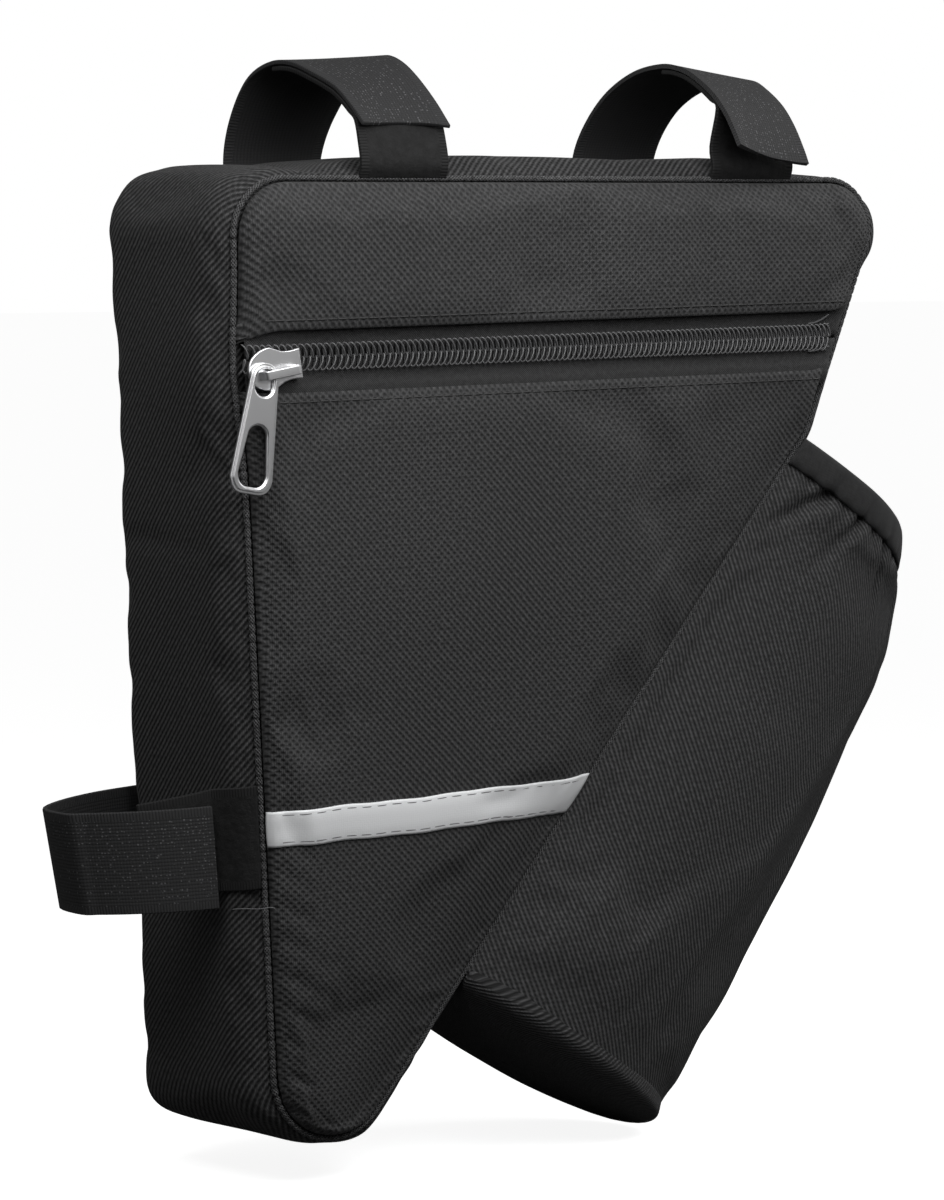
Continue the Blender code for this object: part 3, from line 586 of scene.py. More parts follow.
def woven_finish(name, dark, light, yarn=YARN, wale=4.0, relief=0.0003, rough=0.7, sheen=0.1,
                 crossed=1.6, turn_at=None, loose=1.0):
    """Twill on the cloth coordinates: floats of yarn in slanting ribs, wale yarns apart.

    Ribs of the other slant show through in places, as much as crossed says, and the two
    slants change places beyond the cloth length turn_at. Loose cloth has wavy ribs.
    """
    made = bpy.data.materials.new(name)
    made.use_nodes = True
    nodes, links = made.node_tree.nodes, made.node_tree.links
    shader = nodes["Principled BSDF"]
    sums = maths_in(made.node_tree)
    cut = nodes.new("ShaderNodeUVMap")
    cut.uv_map = "cloth"
    wander = nodes.new("ShaderNodeTexNoise")
    wander.inputs["Scale"].default_value = 60.0
    wander.inputs["Detail"].default_value = 2.0
    links.new(cut.outputs[0], wander.inputs["Vector"])
    split = nodes.new("ShaderNodeSeparateXYZ")
    links.new(cut.outputs[0], split.inputs[0])
    shake = nodes.new("ShaderNodeTexNoise")
    shake.inputs["Scale"].default_value = 420.0
    links.new(cut.outputs[0], shake.inputs["Vector"])
    drift = sums("MULTIPLY", wander.outputs["Fac"], 2.2 * loose)
    drift = sums("MULTIPLY_ADD", shake.outputs["Fac"], 1.1 * loose, drift)
    warp = sums("ADD", sums("DIVIDE", split.outputs[0], yarn), drift)
    weft = sums("DIVIDE", split.outputs[1], yarn)
    slant = 1.0
    if turn_at is not None:
        beyond = sums("GREATER_THAN", split.outputs[1], turn_at)
        slant = sums("MULTIPLY_ADD", beyond, -2.0, 1.0)
    slanted = sums("MULTIPLY", weft, slant)
    rib = sums("SINE", sums("MULTIPLY", sums("ADD", warp, slanted), math.tau / wale))
    cross = sums("SINE", sums("MULTIPLY", sums("SUBTRACT", warp, slanted), math.tau / wale))
    region = nodes.new("ShaderNodeTexNoise")
    region.inputs["Scale"].default_value = 14.0
    region.inputs["Detail"].default_value = 1.0
    links.new(cut.outputs[0], region.inputs["Vector"])
    crossing = sums("MULTIPLY", region.outputs["Fac"], crossed)
    low = sums("MULTIPLY_ADD", rib, -0.5, 0.5)
    crossed_over = sums("MULTIPLY", sums("MULTIPLY_ADD", cross, 0.5, 0.5), crossing)
    crossed_low = sums("SUBTRACT", 1.0, crossed_over)
    rounded = sums("ABSOLUTE", sums("SINE", sums("MULTIPLY", warp, math.pi)))
    height = sums("SUBTRACT", 1.0, sums("MULTIPLY", low, crossed_low))
    height = sums("MULTIPLY", height, sums("MULTIPLY_ADD", rounded, 0.3, 0.7))
    mottle = nodes.new("ShaderNodeTexNoise")
    mottle.inputs["Scale"].default_value = 900.0
    mottle.inputs["Detail"].default_value = 3.0
    links.new(cut.outputs[0], mottle.inputs["Vector"])
    patchy = sums("MAXIMUM", sums("MULTIPLY_ADD", mottle.outputs["Fac"], 2.2, -0.35), 0.1)
    # Painted shade and highlight: the colour runs from dark in the hollows between the ribs, painted shade, to light
    # on the raised yarn, painted highlight, in patches of random strength.
    share = sums("MULTIPLY", sums("POWER", height, 1.6), patchy)
    colour = nodes.new("ShaderNodeMix")
    colour.data_type = "RGBA"
    colour.inputs["A"].default_value = (*dark, 1)
    colour.inputs["B"].default_value = (*light, 1)
    links.new(share, colour.inputs["Factor"])
    links.new(colour.outputs["Result"], shader.inputs["Base Color"])
    bump = nodes.new("ShaderNodeBump")
    bump.inputs["Distance"].default_value = relief
    links.new(height, bump.inputs["Height"])
    links.new(bump.outputs[0], shader.inputs["Normal"])
    shader.inputs["Roughness"].default_value = rough
    shader.inputs["Sheen Weight"].default_value = sheen
    shader.inputs["Sheen Roughness"].default_value = 0.5
    shader.inputs["Specular IOR Level"].default_value = 0.15
    return made


def fold_bend(x, left, right, side):
    """How far a panel's folded edge turns down at the left seam and up at the right one."""
    near_left = max(0.0, 1.0 - (x - left) / FOLD_ENDS[0]) ** 2
    near_right = max(0.0, 1.0 - (right - x) / FOLD_ENDS[1]) ** 2
    return (-FOLD_DROP if side > 0 else FOLD_START) * near_left + FOLD_LIFT * near_right


def panel_rows(far_z, side):
    """Rows of a front panel from its hidden flap, round the fold and out to the seam."""
    loop = outline(PANEL_EDGE)
    fold = ZIP_Z + side * FOLD_OFFSETS[side]
    drop = (far_z - fold) * side
    count = round(drop / PANEL_CELL * ROW_CROWDING * 0.8)
    rows = []

    def row(base, slope, depth_in, along, bend=1.0):
        left, right = span_at(loop, base, slope)
        columns = round(TOP_LENGTH / PANEL_CELL)
        found = []
        for i in range(columns + 1):
            share = i / columns
            share -= 0.05 * math.sin(math.tau * share)
            x = left + (right - left) * share
            z = base + slope * x
            spot = Vector((x, -sewn_depth(x, z) + depth_in, z))
            spot.z += bend * fold_bend(x, left, right, side)
            found.append((bowed(spot), (x, along)))
        rows.append(found)

    for z_step, inwards in ((HEM_FLAP, 2.0), (HEM_FLAP * 0.4, 2.0), (0.0004, 1.9), (-0.0002, 1.4),
                            (-0.0004, 1.0), (-0.0002, 0.5), (FOLD_START, 0.0)):
        hem = fold + side * z_step
        row(hem, ZIP_SLOPE, HEM_ROUND * inwards, hem + side * (HEM_ROUND * inwards))
    for step in range(1, count + 1):
        share = step / count
        ease = 1.0 - (1.0 - share) ** ROW_CROWDING
        base = fold + side * (FOLD_START + (drop - FOLD_START) * min(ease, 0.99999))
        row(base, ZIP_SLOPE * (1.0 - share) ** 1.5, 0.0, base, max(0.0, 1.0 - share * drop / 0.02))
    return rows


# Its first colour is the twill in painted shade between the ribs, its second the painted highlight on the raised yarn.
panel_twill = woven_finish("panel_twill", (0.022, 0.022, 0.0223), (0.080, 0.080, 0.0813),
                           sheen=0.05)
loop_edge = outline(PANEL_EDGE)
panel_top = max(p.y for p in loop_edge)
panel_tip = min(p.y for p in loop_edge)
BAG_MIDDLE = Vector((-0.03, 0.0, -0.08))


def make_front_panel(word, far_z, side):
    """One piece of the front panel, settled over its foam and given its thickness."""
    panel = cloth_grid("front_panel_" + word + "_cloth", panel_rows(far_z, side))
    face_away(panel, BAG_MIDDLE)
    fold = ZIP_Z + side * FOLD_OFFSETS[side]

    def held(co):
        near_fold = (co.z - fold - ZIP_SLOPE * co.x) * side < 0.002
        return near_fold or inset_at(co.x, co.z) < PANEL_EDGE + 0.001

    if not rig.quick():
        settle(panel, held, 3.0, 0.012, 0.0010)
    refine(panel)
    thicken(panel, CLOTH)
    panel.data.materials.append(panel_twill)
    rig.ride(panel, "bag")
    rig.replaces(panel, "front_panel_" + word, "front_foam_" + word)
    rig.slot(panel, "panel_fabric")
    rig.padded(panel, fill=0.5)
    return panel


front_upper = make_front_panel("upper", panel_top, 1)
front_lower = make_front_panel("lower", panel_tip, -1)


# Back panel. One plain piece of the same padded twill, sewn in all round.
def make_back_panel():
    """The back panel, in rows from the tip to the top seam."""
    count = round(-panel_tip / PANEL_CELL * 1.3)
    columns = round(TOP_LENGTH / PANEL_CELL)
    rows = []
    for step in range(count + 1):
        share = step / count
        share -= 0.13 * math.sin(math.tau * share)
        z = panel_tip + (panel_top - panel_tip) * min(max(share, 1e-5), 1 - 1e-5)
        left, right = span_at(loop_edge, z, 0.0)
        row = []
        for i in range(columns + 1):
            s = i / columns
            s -= 0.05 * math.sin(math.tau * s)
            x = left + (right - left) * s
            row.append((Vector((x, sewn_depth(x, z), z)), (-x, z)))
        rows.append(row)
    panel = cloth_grid("back_panel_cloth", rows)
    face_away(panel, BAG_MIDDLE)
    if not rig.quick():
        settle(panel, lambda co: inset_at(co.x, co.z) < PANEL_EDGE + 0.001, 3.0, 0.012, 0.0012)
    refine(panel)
    thicken(panel, CLOTH)
    panel.data.materials.append(panel_twill)
    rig.ride(panel, "bag")
    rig.replaces(panel, "back_panel", "back_foam")
    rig.slot(panel, "panel_fabric")
    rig.padded(panel, fill=0.5)


make_back_panel()


# Gussets. Padded twill bands that join the two panels: one runs over the top, down the
# left side and round the tip, and a shorter one closes the slanting side by the pocket.
CROWN_ROLL = 0.0092
GUSSET_COLUMNS = 26
ALLOWANCE = 0.004
GUSSET_HOLD = 0.004
GUSSET_WAVE = 0.0008
SQUARE_CORNER = Vector((-0.0850, -0.2310))
SQUARE_RISE = 0.0030
SQUARE_SPREAD = 0.0056
SQUARE_FRONT = (-0.022, 0.012)
SQUARE_BACK = (0.0235, HALF_DEPTH - GUSSET_EDGE)
FLAT_END_LEFT = 0.40
FLAT_END_RIGHT = 0.75
TIP_FLATNESS = 0.60
SHOULDER_FULL = 0.35
SHOULDER_AT = (0.094, -0.018)
SHOULDER_SPREAD = 0.010


def crown(share, fullness):
    """Depth and height of the gusset at a share of the way from front to back seam."""
    reach = HALF_DEPTH - GUSSET_EDGE
    y = (2.0 * share - 1.0) * reach
    inwards = reach - abs(y)
    rise = math.sqrt(1.0 - (1.0 - min(inwards / CROWN_ROLL, 1.0)) ** 2)
    return y, CROWN * fullness * rise


def corner_index(corner):
    """Index in the outline of the first point of a corner's arc."""
    loop = outline(0.0)
    _, along, _ = side_line((corner - 1) % 4)
    radius = CORNERS[corner][2]
    turn = along.angle(side_line(corner)[1])
    spot = Vector(CORNERS[corner][:2]) - along * radius * math.tan(turn / 2)
    return min(range(len(loop)), key=lambda i: (loop[i] - spot).length)


def make_gusset(name, first, last, nodes, tightness):
    """A gusset from one index of the outline to another, going clockwise.

    Its rear lower left corner is drawn out square.
    """
    seam, allowance = outline(0.0), outline(ALLOWANCE)
    count = len(seam)
    order = [i % count for i in range(first, last + 1 if last > first else last + count + 1)]
    heights = {}
    lengths = [0.0]
    for a, b in zip(order, order[1:]):
        lengths.append(lengths[-1] + (seam[b] - seam[a]).length)
    shares = []
    for i in range(GUSSET_COLUMNS + 1):
        s = i / GUSSET_COLUMNS
        shares.append(s - 0.09 * math.sin(math.tau * s))
    rows = []
    for along, i in zip(lengths, order):
        row = []
        full = tightness(seam[i])
        profile = [Vector(crown(s, full)) for s in shares]
        across = [0.0]
        for a, b in zip(profile, profile[1:]):
            across.append(across[-1] + (b - a).length)
        away = (seam[i] - SQUARE_CORNER).length / SQUARE_SPREAD
        squared = SQUARE_RISE * math.exp(-away * away)
        for (y, h), u in zip(profile, across):
            h += squared * eased(y, *SQUARE_FRONT) * (1 - eased(y, *SQUARE_BACK))
            key = round(h, 6)
            if key not in heights:
                heights[key] = outline(-h)
            p = heights[key][i]
            wave = noise.noise(Vector((p.x * 22, y * 22, p.y * 22 + 9))) * GUSSET_WAVE
            out = (p - seam[i]).normalized() if h > 1e-6 else Vector((0, 0))
            p = p + out * wave * min(1.0, h / CROWN)
            row.append((bowed(Vector((p.x, y, p.y))), (u - across[-1] / 2, along)))
        hem = [(bowed(Vector((allowance[i].x, edge.y, allowance[i].y))), (u + flap, along))
               for (edge, (u, _)), flap in ((row[0], -ALLOWANCE), (row[-1], ALLOWANCE))]
        rows.append([hem[0], *row, hem[1]])
    band = cloth_grid(name, rows)
    face_away(band, BAG_MIDDLE)
    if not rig.quick():
        ends = [Vector((rows[k][1][0].x, 0, rows[k][1][0].z)) for k in (0, -1)]

        def held(co):
            at_seam = abs(co.y) > HALF_DEPTH - GUSSET_EDGE - 0.0004
            return at_seam or any(Vector((co.x - end.x, 0, co.z - end.z)).length < GUSSET_HOLD
                                  for end in ends)

        settle(band, held, 2.0, 0.012, 0.0008)
    refine(band)
    thicken(band, CLOTH)
    band.data.materials.append(gusset_twill)
    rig.ride(band, "bag")
    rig.replaces(band, *nodes)
    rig.slot(band, "gusset_fabric")
    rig.padded(band, fill=0.5)


def band_fullness(spot):
    """The band is flatter near the top corners and under the tip, and fuller at the left."""
    on_top = eased(spot.y, -0.020, -0.008)
    ends = eased(abs(spot.x), 0.045, 0.078) * (1 - eased(abs(spot.x), 0.088, 0.094))
    flat_ends = (FLAT_END_LEFT if spot.x < 0 else FLAT_END_RIGHT) * ends
    left = (0.10 + 0.25 * eased(-spot.y, 0.17, 0.20)) * (1 - eased(spot.x, -0.090, -0.070))
    below = eased(-spot.y, 0.2265, 0.2345) * (1 - eased(spot.x, -0.073, -0.060))
    from_shoulder = (spot.x - SHOULDER_AT[0]) ** 2 + (spot.y - SHOULDER_AT[1]) ** 2
    right_corner = SHOULDER_FULL * math.exp(-(from_shoulder / SHOULDER_SPREAD ** 2))
    return 1.0 - on_top * flat_ends + left - TIP_FLATNESS * below + right_corner


# For these twills too, the first colour is painted shade between the ribs and the second a painted highlight on the
# raised yarn.
gusset_twill = woven_finish("gusset_twill", (0.007, 0.007, 0.0071), (0.098, 0.098, 0.0995),
                            yarn=0.00045, relief=0.00026, rough=0.65, sheen=0.05, crossed=0.6,
                            turn_at=0.27, loose=0.35)
seam_twill = woven_finish("seam_twill", (0.010, 0.010, 0.0101), (0.17, 0.17, 0.173),
                          yarn=0.00030, wale=3.0, relief=0.0003, sheen=0.05)
tip_start = corner_index(3)
right_end = corner_index(2)
make_gusset("gusset_band_cloth", tip_start, right_end, ("gusset_band", "gusset_foam"),
            band_fullness)
make_gusset("diagonal_band_cloth", right_end, tip_start, ("diagonal_band", "diagonal_foam"),
            lambda spot: 1.0)


# Seams. The gusset's edge is folded and sewn to the panel, which leaves a narrow ridge
# round each face; every stitch of the seam draws the ridge in a little.
WELT_RADIUS = 0.00085
WELT_STITCH = 0.0023
WELT_SIDES = 10
WELT_INWARDS = 0.0007
WELT_PINCH = 0.38
WELT_PINCH_RIGHT = 0.08


def make_welt(name, y, node):
    """The folded edge along the seam line round one face of the bag."""
    path = outline(-0.0002, arc_step=0.00038, side_step=0.00038)
    count = len(path)
    rows, along = [], 0.0
    inwards = math.copysign(WELT_INWARDS, -y)
    for i in range(count + 1):
        here, ahead, behind = path[i % count], path[(i + 1) % count], path[(i - 1) % count]
        if i:
            along += (here - behind).length
        forward = (ahead - behind).normalized()
        side = Vector((forward.y, -forward.x))
        pinch = max(0.0, math.cos(math.tau * along / WELT_STITCH)) ** 6
        slack = eased(here.x, -0.075, -0.05) * eased(-here.y, 0.02, 0.05)
        drawn = WELT_PINCH - (WELT_PINCH - WELT_PINCH_RIGHT) * slack
        radius = WELT_RADIUS * (1.0 - drawn * pinch)
        row = []
        for k in range(WELT_SIDES + 1):
            turn = math.tau * k / WELT_SIDES
            spot = here + side * radius * math.cos(turn) * 0.9
            spot = Vector((spot.x, y + inwards + radius * math.sin(turn), spot.y))
            row.append((bowed(spot), (turn * WELT_RADIUS, along)))
        rows.append(row)
    welt = cloth_grid(name, rows)
    face_outwards(welt)
    welt.data.materials.append(seam_twill)
    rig.ride(welt, "bag")
    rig.replaces(welt, node)
    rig.slot(welt, "gusset_fabric")


make_welt("front_seam", -HALF_DEPTH, "front_welt")
make_welt("back_seam", HALF_DEPTH, "back_welt")


# Zip tapes. Two thin woven strips under the folded panel edges carry the zip's chain.
# They lie flat between the folds and bend down into the seams at both ends.
CHAIN_SLIT = 0.0009
TAPE_THICKNESS = 0.0004
ZIP_SINK = 0.0015
TAPE_FRONT = HALF_DEPTH + PANEL_PUFF - CLOTH - 0.00035 - ZIP_SINK
TAPE_ROLL = 0.003
TAPE_HEM = 0.004
TAPE_INSET = 0.0016
TAPE_LIFT = 0.0008


def zip_point(x, v, depth):
    """A point v above the zip's centre line, at a depth from the bag's middle plane."""
    return Vector((x, -depth, ZIP_Z + x * ZIP_SLOPE + v))


def x_inside(side, inset, v):
    """X of the point at an inset from a side, v above the zip's centre line."""
    start, _, normal = side_line(side)
    level = inset + start.x * normal.x - (ZIP_Z + v - start.y) * normal.y
    return level / (normal.x + ZIP_SLOPE * normal.y)


# The first colour is painted shade between the ribs, the second a painted highlight on the raised yarn.
tape_weave = woven_finish("tape_weave", (0.014, 0.014, 0.014), (0.052, 0.052, 0.053),
                          yarn=0.0003, wale=2.0, relief=0.0001, rough=0.7)


def make_tape(word, side):
    """One tape half, from the slit in the chain to its hidden outer edge."""
    levels = (CHAIN_SLIT / 2, 0.002, 0.0038, 0.0055, 0.0066, 0.0074, 0.0086,
              ZIP_WINDOW / 2 + TAPE_HEM)
    rows = []
    count = round(TOP_LENGTH / 0.0022)
    for step in range(count + 1):
        share = step / count
        share -= 0.12 * math.sin(math.tau * share)
        row = []
        for v in levels:
            left = x_inside(LEFT_SIDE, TAPE_INSET, side * v)
            right = x_inside(RIGHT_SIDE, TAPE_INSET, side * v)
            x = left + (right - left) * share
            inset = min(x - left, right - x) + TAPE_INSET
            flat = rolled(inset, PANEL_EDGE, TAPE_ROLL)
            depth = HALF_DEPTH + (TAPE_FRONT - HALF_DEPTH) * flat
            lifted = TAPE_LIFT * eased(v, 0.0055, 0.0072) * eased(x - left, 0.004, 0.014)
            ripple = noise.noise(Vector((x * 90, side * v * 60, 4.0))) * 0.0002
            row.append((bowed(zip_point(x, side * v, depth + lifted + ripple)), (x, side * v)))
        rows.append(row)
    tape = cloth_grid("zip_tape_" + word, rows)
    face_away(tape, BAG_MIDDLE)
    thicken(tape, TAPE_THICKNESS)
    tape.data.materials.append(tape_weave)
    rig.ride(tape, "bag")
    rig.replaces(tape, "zipper_tape_" + word)
    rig.slot(tape, "zip_tape")


make_tape("upper", 1)
make_tape("lower", -1)


# Zip chain. Each half is a flattened coil of nylon wire sewn to its tape; the turns of
# one half lie between the turns of the other. At the right the two halves part a little
# where they go into the seam.
COIL_PITCH = 0.00156
COIL_HALF_WIDTH = 0.00172
COIL_HALF_DEPTH = 0.00046
COIL_CENTRE = 0.00150
COIL_LIFT = 0.00095
COIL_WIRE = 0.00024
COIL_LEAN = 0.0008
COIL_STEPS = 14
COIL_SIDES = 6
COIL_START = 0.0010
COIL_STOP = 0.0040
COIL_CROWDING = 0.1
CORD_LENGTH = 0.0068
CORD_SPREAD = {1: 0.0024, -1: -0.0012}


def plain_finish(name, colour, rough, metal=0.0):
    """A smooth material of one colour."""
    made = bpy.data.materials.new(name)
    made.use_nodes = True
    shader = made.node_tree.nodes["Principled BSDF"]
    shader.inputs["Base Color"].default_value = (*colour, 1)
    shader.inputs["Roughness"].default_value = rough
    shader.inputs["Metallic"].default_value = metal
    return made


def tube(name, path, radius, sides, finish):
    """A round thread or wire along a path of points, closed at both ends."""
    rows = []
    frame_up = Vector((0.0, -1.0, 0.0))
    for i, here in enumerate(path):
        forward = (path[min(i + 1, len(path) - 1)] - path[max(i - 1, 0)]).normalized()
        side = forward.cross(frame_up)
        if side.length < 0.05:
            side = forward.cross(Vector((0.0, 0.0, 1.0)))
        side.normalize()
        frame_up = side.cross(forward).normalized()
        shrink = 0.02 if i in (0, len(path) - 1) else 1.0
        row = []
        for k in range(sides + 1):
            turn = math.tau * k / sides
            arm = side * math.cos(turn) + frame_up * math.sin(turn)
            row.append((here + arm * radius * shrink, (turn * radius, i * radius)))
        rows.append(row)
    made = cloth_grid(name, rows)
    face_outwards(made)
    made.data.materials.append(finish)
    return made


def join(pieces, name):
    """Joins pieces of one material into one object."""
    bpy.ops.object.select_all(action="DESELECT")
    for piece in pieces:
        piece.select_set(True)
    bpy.context.view_layer.objects.active = pieces[0]
    bpy.ops.object.join()
    pieces[0].name = pieces[0].data.name = name
    bpy.ops.object.select_all(action="DESELECT")
    return pieces[0]


nylon = plain_finish("black_nylon", (0.085, 0.085, 0.087), 0.17)


def make_coil(word, side):
    """One coil half: flat turns that lean back to the left, and the cord they are sewn over."""
    left = x_inside(LEFT_SIDE, COIL_START, 0.0)
    right = x_inside(RIGHT_SIDE, COIL_STOP, 0.0)
    turns = round((right - left) / COIL_PITCH)
    path = []
    for step in range(turns * COIL_STEPS + 1):
        turn = math.tau * step / COIL_STEPS
        share = step / (turns * COIL_STEPS)
        x = left + (right - left) * (share + COIL_CROWDING * share * (1.0 - share))
        inset_left, inset_right = x - left + COIL_START, right - x + COIL_STOP
        part = 0.0008 * max(0.0, 1.0 - inset_right / 0.011) ** 2
        part += 0.0005 * max(0.0, 1.0 - inset_left / 0.006) ** 2
        flat = rolled(min(inset_left, inset_right), PANEL_EDGE, TAPE_ROLL)
        depth = HALF_DEPTH + (TAPE_FRONT - HALF_DEPTH) * flat + COIL_LIFT
        v = COIL_CENTRE + COIL_HALF_WIDTH * math.cos(turn) + part
        bow = COIL_PITCH / 4 * math.sin(turn) - COIL_LEAN * (0.5 + 0.5 * math.cos(turn)) ** 1.5
        shift = -COIL_PITCH / 2 if side < 0 else 0.0
        spot = zip_point(x + bow + shift, side * v, depth + COIL_HALF_DEPTH * math.sin(turn))
        path.append(bowed(spot))
    coil = tube("zip_coil_" + word, path, COIL_WIRE, COIL_SIDES, nylon)
    cord = []
    for step in range(13):
        share = step / 12
        v = COIL_CENTRE + COIL_HALF_WIDTH + 0.0003 + CORD_SPREAD[side] * share ** 2
        x = right - 0.0007 - CORD_LENGTH * (1.0 - share)
        flat = rolled(right - x + COIL_STOP, PANEL_EDGE, TAPE_ROLL)
        depth = HALF_DEPTH + (TAPE_FRONT - HALF_DEPTH) * flat + COIL_LIFT
        cord.append(zip_point(x, side * v, depth))
    cord = tube("cord", cord, COIL_WIRE * 1.2, COIL_SIDES, nylon)
    coil = join([coil, cord], "zip_coil_" + word)
    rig.ride(coil, "bag")
    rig.replaces(coil, "zipper_coil_" + word)
    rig.slot(coil, "zip_coil")


make_coil("upper", 1)
make_coil("lower", -1)


# Slider. Cast zinc with a nickel finish: a front plate with a round nose and a flared
# tail, a flange that holds the coils, a rear plate, and a raised bridge for the tab.
SLIDER_LENGTH = 0.0148
SLIDER_WIDTH = 0.0104
SLIDER_PLATE = 0.001
SLIDER_INSET = -0.0012
SLIDER_SAG = 0.0012
SLIDER_TILT = math.radians(8)
SLIDER_INNER = TAPE_FRONT + 0.00185
SLIDER_SOFTENED = 0.00028
REAR_PLATE_START = 0.0058
REAR_PLATE_SHARE = 0.8
FLANGE_DEPTH = 0.0008
SLIDER_FACE = SLIDER_INNER + SLIDER_PLATE
BRIDGE_WINDOW = 0.0019
BRIDGE_BAR = 0.0011
BRIDGE_WIDTH = 0.0022
BRIDGE_DROP = 0.0012
BRIDGE_POST = 0.0016
NOSE_POST = 0.0038
TAIL_POST = 0.0124


def slider_point(u, v, out):
    """A point given along, above and out from the slider's nose."""
    nose = x_inside(LEFT_SIDE, SLIDER_INSET, 0.0)
    cos, sin = math.cos(ZIP_TILT), math.sin(ZIP_TILT)
    return zip_point(nose, 0.0, out) + Vector((u * cos - v * sin, 0.0, u * sin + v * cos))


def plate(name, plan, place, low, high, soften):
    """A flat piece with a plan of (u, v) points between two depths, its edges softened."""
    bpy.ops.mesh.primitive_circle_add(vertices=len(plan), radius=1.0, fill_type="NGON")
    made = bpy.context.object
    made.name = made.data.name = name
    for vertex, (u, v) in zip(made.data.vertices, plan):
        vertex.co = place(u, v, low)
    bpy.ops.object.mode_set(mode="EDIT")
    bpy.ops.mesh.select_all(action="SELECT")
    bpy.ops.mesh.extrude_region_move(TRANSFORM_OT_translate={
        "value": place(0.0, 0.0, high) - place(0.0, 0.0, low), "orient_type": "GLOBAL"})
    bpy.ops.object.mode_set(mode="OBJECT")
    face_outwards(made)
    if soften:
        round_edges(made, soften)
    return made


def round_edges(made, width, segments=3):
    """Rounds a piece's sharp edges and shades its broad faces flat."""
    edge = made.modifiers.new("edges", "BEVEL")
    edge.width = width
    edge.segments = segments
    edge.limit_method = "ANGLE"
    edge.angle_limit = math.radians(35)
    edge.harden_normals = False
    finished(made, edge)
    for face in made.data.polygons:
        face.use_smooth = True
    weigh = made.modifiers.new("weigh", "WEIGHTED_NORMAL")
    finished(made, weigh)


nickel = plain_finish("nickel_plate", (0.82, 0.82, 0.83), 0.29, 1.0)


def hung_point(u, v, out):
    """The same for the front plate and bridge, which the tab's weight tilts about the tail."""
    back = u - SLIDER_LENGTH
    cos, sin = math.cos(SLIDER_TILT), math.sin(SLIDER_TILT)
    along, above = back * cos - v * sin, back * sin + v * cos
    return slider_point(SLIDER_LENGTH + along, above - SLIDER_SAG, out)


def slider_plan(width, start, end):
    """Round nose, drawn-in waist and narrower flared tail, as (u, v) points."""
    upper = ((0.0, 0.0), (0.01, 0.2), (0.04, 0.42), (0.09, 0.62), (0.16, 0.78), (0.26, 0.92),
             (0.36, 0.99), (0.45, 1.0), (0.55, 0.86), (0.66, 0.72), (0.78, 0.67), (0.90, 0.68),
             (1.0, 0.71))
    top = [(start + (end - start) * u, width / 2 * v) for u, v in upper]
    return top + [(u, -v) for u, v in top[:0:-1]]


def make_slider():
    """The whole slider, from its front plate to the bridge."""
    front = slider_plan(SLIDER_WIDTH, 0.0, SLIDER_LENGTH)
    rear = slider_plan(SLIDER_WIDTH * REAR_PLATE_SHARE, REAR_PLATE_START, SLIDER_LENGTH - 0.001)
    parts = [plate("front_plate", front, hung_point, SLIDER_INNER, SLIDER_FACE, SLIDER_SOFTENED)]
    parts.append(plate("rear_plate", rear, slider_point, TAPE_FRONT - 0.0017,
                       TAPE_FRONT - 0.0007, 0.0002))
    flange = [(u, -v * 0.985) for u, v in front[3:13]]
    inner = [(u, v + FLANGE_DEPTH) for u, v in flange[::-1]]
    parts.append(plate("flange", flange + inner, hung_point, TAPE_FRONT + 0.0004,
                       SLIDER_INNER + 0.0003, 0.00015))
    foot, inner = SLIDER_FACE - 0.00025, SLIDER_FACE + BRIDGE_WINDOW
    top, post = inner + BRIDGE_BAR, BRIDGE_POST / 2
    arch = ((NOSE_POST - post - 0.0002, foot), (NOSE_POST - post, inner),
            (NOSE_POST - post * 0.6, top - 0.0003), (NOSE_POST + 0.0002, top),
            (TAIL_POST - 0.0004, top), (TAIL_POST + post * 0.7, top - 0.0004),
            (TAIL_POST + post, inner - 0.0002), (TAIL_POST + post + 0.0002, foot),
            (TAIL_POST - post, foot), (TAIL_POST - post, inner - 0.0003),
            (TAIL_POST - post - 0.0005, inner), (NOSE_POST + post + 0.0003, inner),
            (NOSE_POST + post, inner - 0.0003), (NOSE_POST + post, foot))
    parts.append(plate("bridge", arch, lambda u, out, v: hung_point(u, v - BRIDGE_DROP, out),
                       -BRIDGE_WIDTH / 2, BRIDGE_WIDTH / 2, 0.0003))
    slider = join(parts, "zip_slider")
    slider.data.materials.append(nickel)
    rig.ride(slider, "slider")
    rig.replaces(slider, "zipper_slider")
    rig.slot(slider, "zip_metal")


make_slider()


# Pull tab. A flat nickel tab whose eye goes round the bridge's nose post; it has a
# stepped edge and a long slot, and hangs aslant down the lower panel.
PULL_LENGTH = 0.0315
PULL_TOP_WIDTH = 0.0078
PULL_BOTTOM_WIDTH = 0.0117
PULL_THICKNESS = 0.0012
PULL_EYE = 0.0050
PULL_EYE_DROP = 0.0008
PULL_EYE_REACH = 0.0017
PULL_SLOT_LENGTH = 0.0148
PULL_SLOT_TOP = 0.0052
PULL_SLOT_BOTTOM = 0.0078
PULL_RIM = 0.0017
PULL_STEP = 0.0006
PULL_CORNER = 0.0034
PULL_SLOT_CORNER = 0.0027
PULL_FOOT_BOW = 0.0005
PULL_LEAN = math.radians(9.5)


def tab_plan(top, bottom, start, end, corner):
    """A tapering plan with a round top and rounded bottom corners, down from start."""
    points = []
    for step in range(17):
        turn = math.pi * step / 16
        points.append((top / 2 * math.cos(turn), start + top / 2 * (1 - math.sin(turn))))
    for side in (-1, 1):
        arc = []
        for step in range(8):
            turn = math.pi / 2 * step / 7
            arc.append((side * (bottom / 2 - corner * (1 - math.cos(turn))),
                        end - corner * (1 - math.sin(turn)) + PULL_FOOT_BOW * math.sin(turn)))
        points += arc if side < 0 else arc[::-1]
    return points


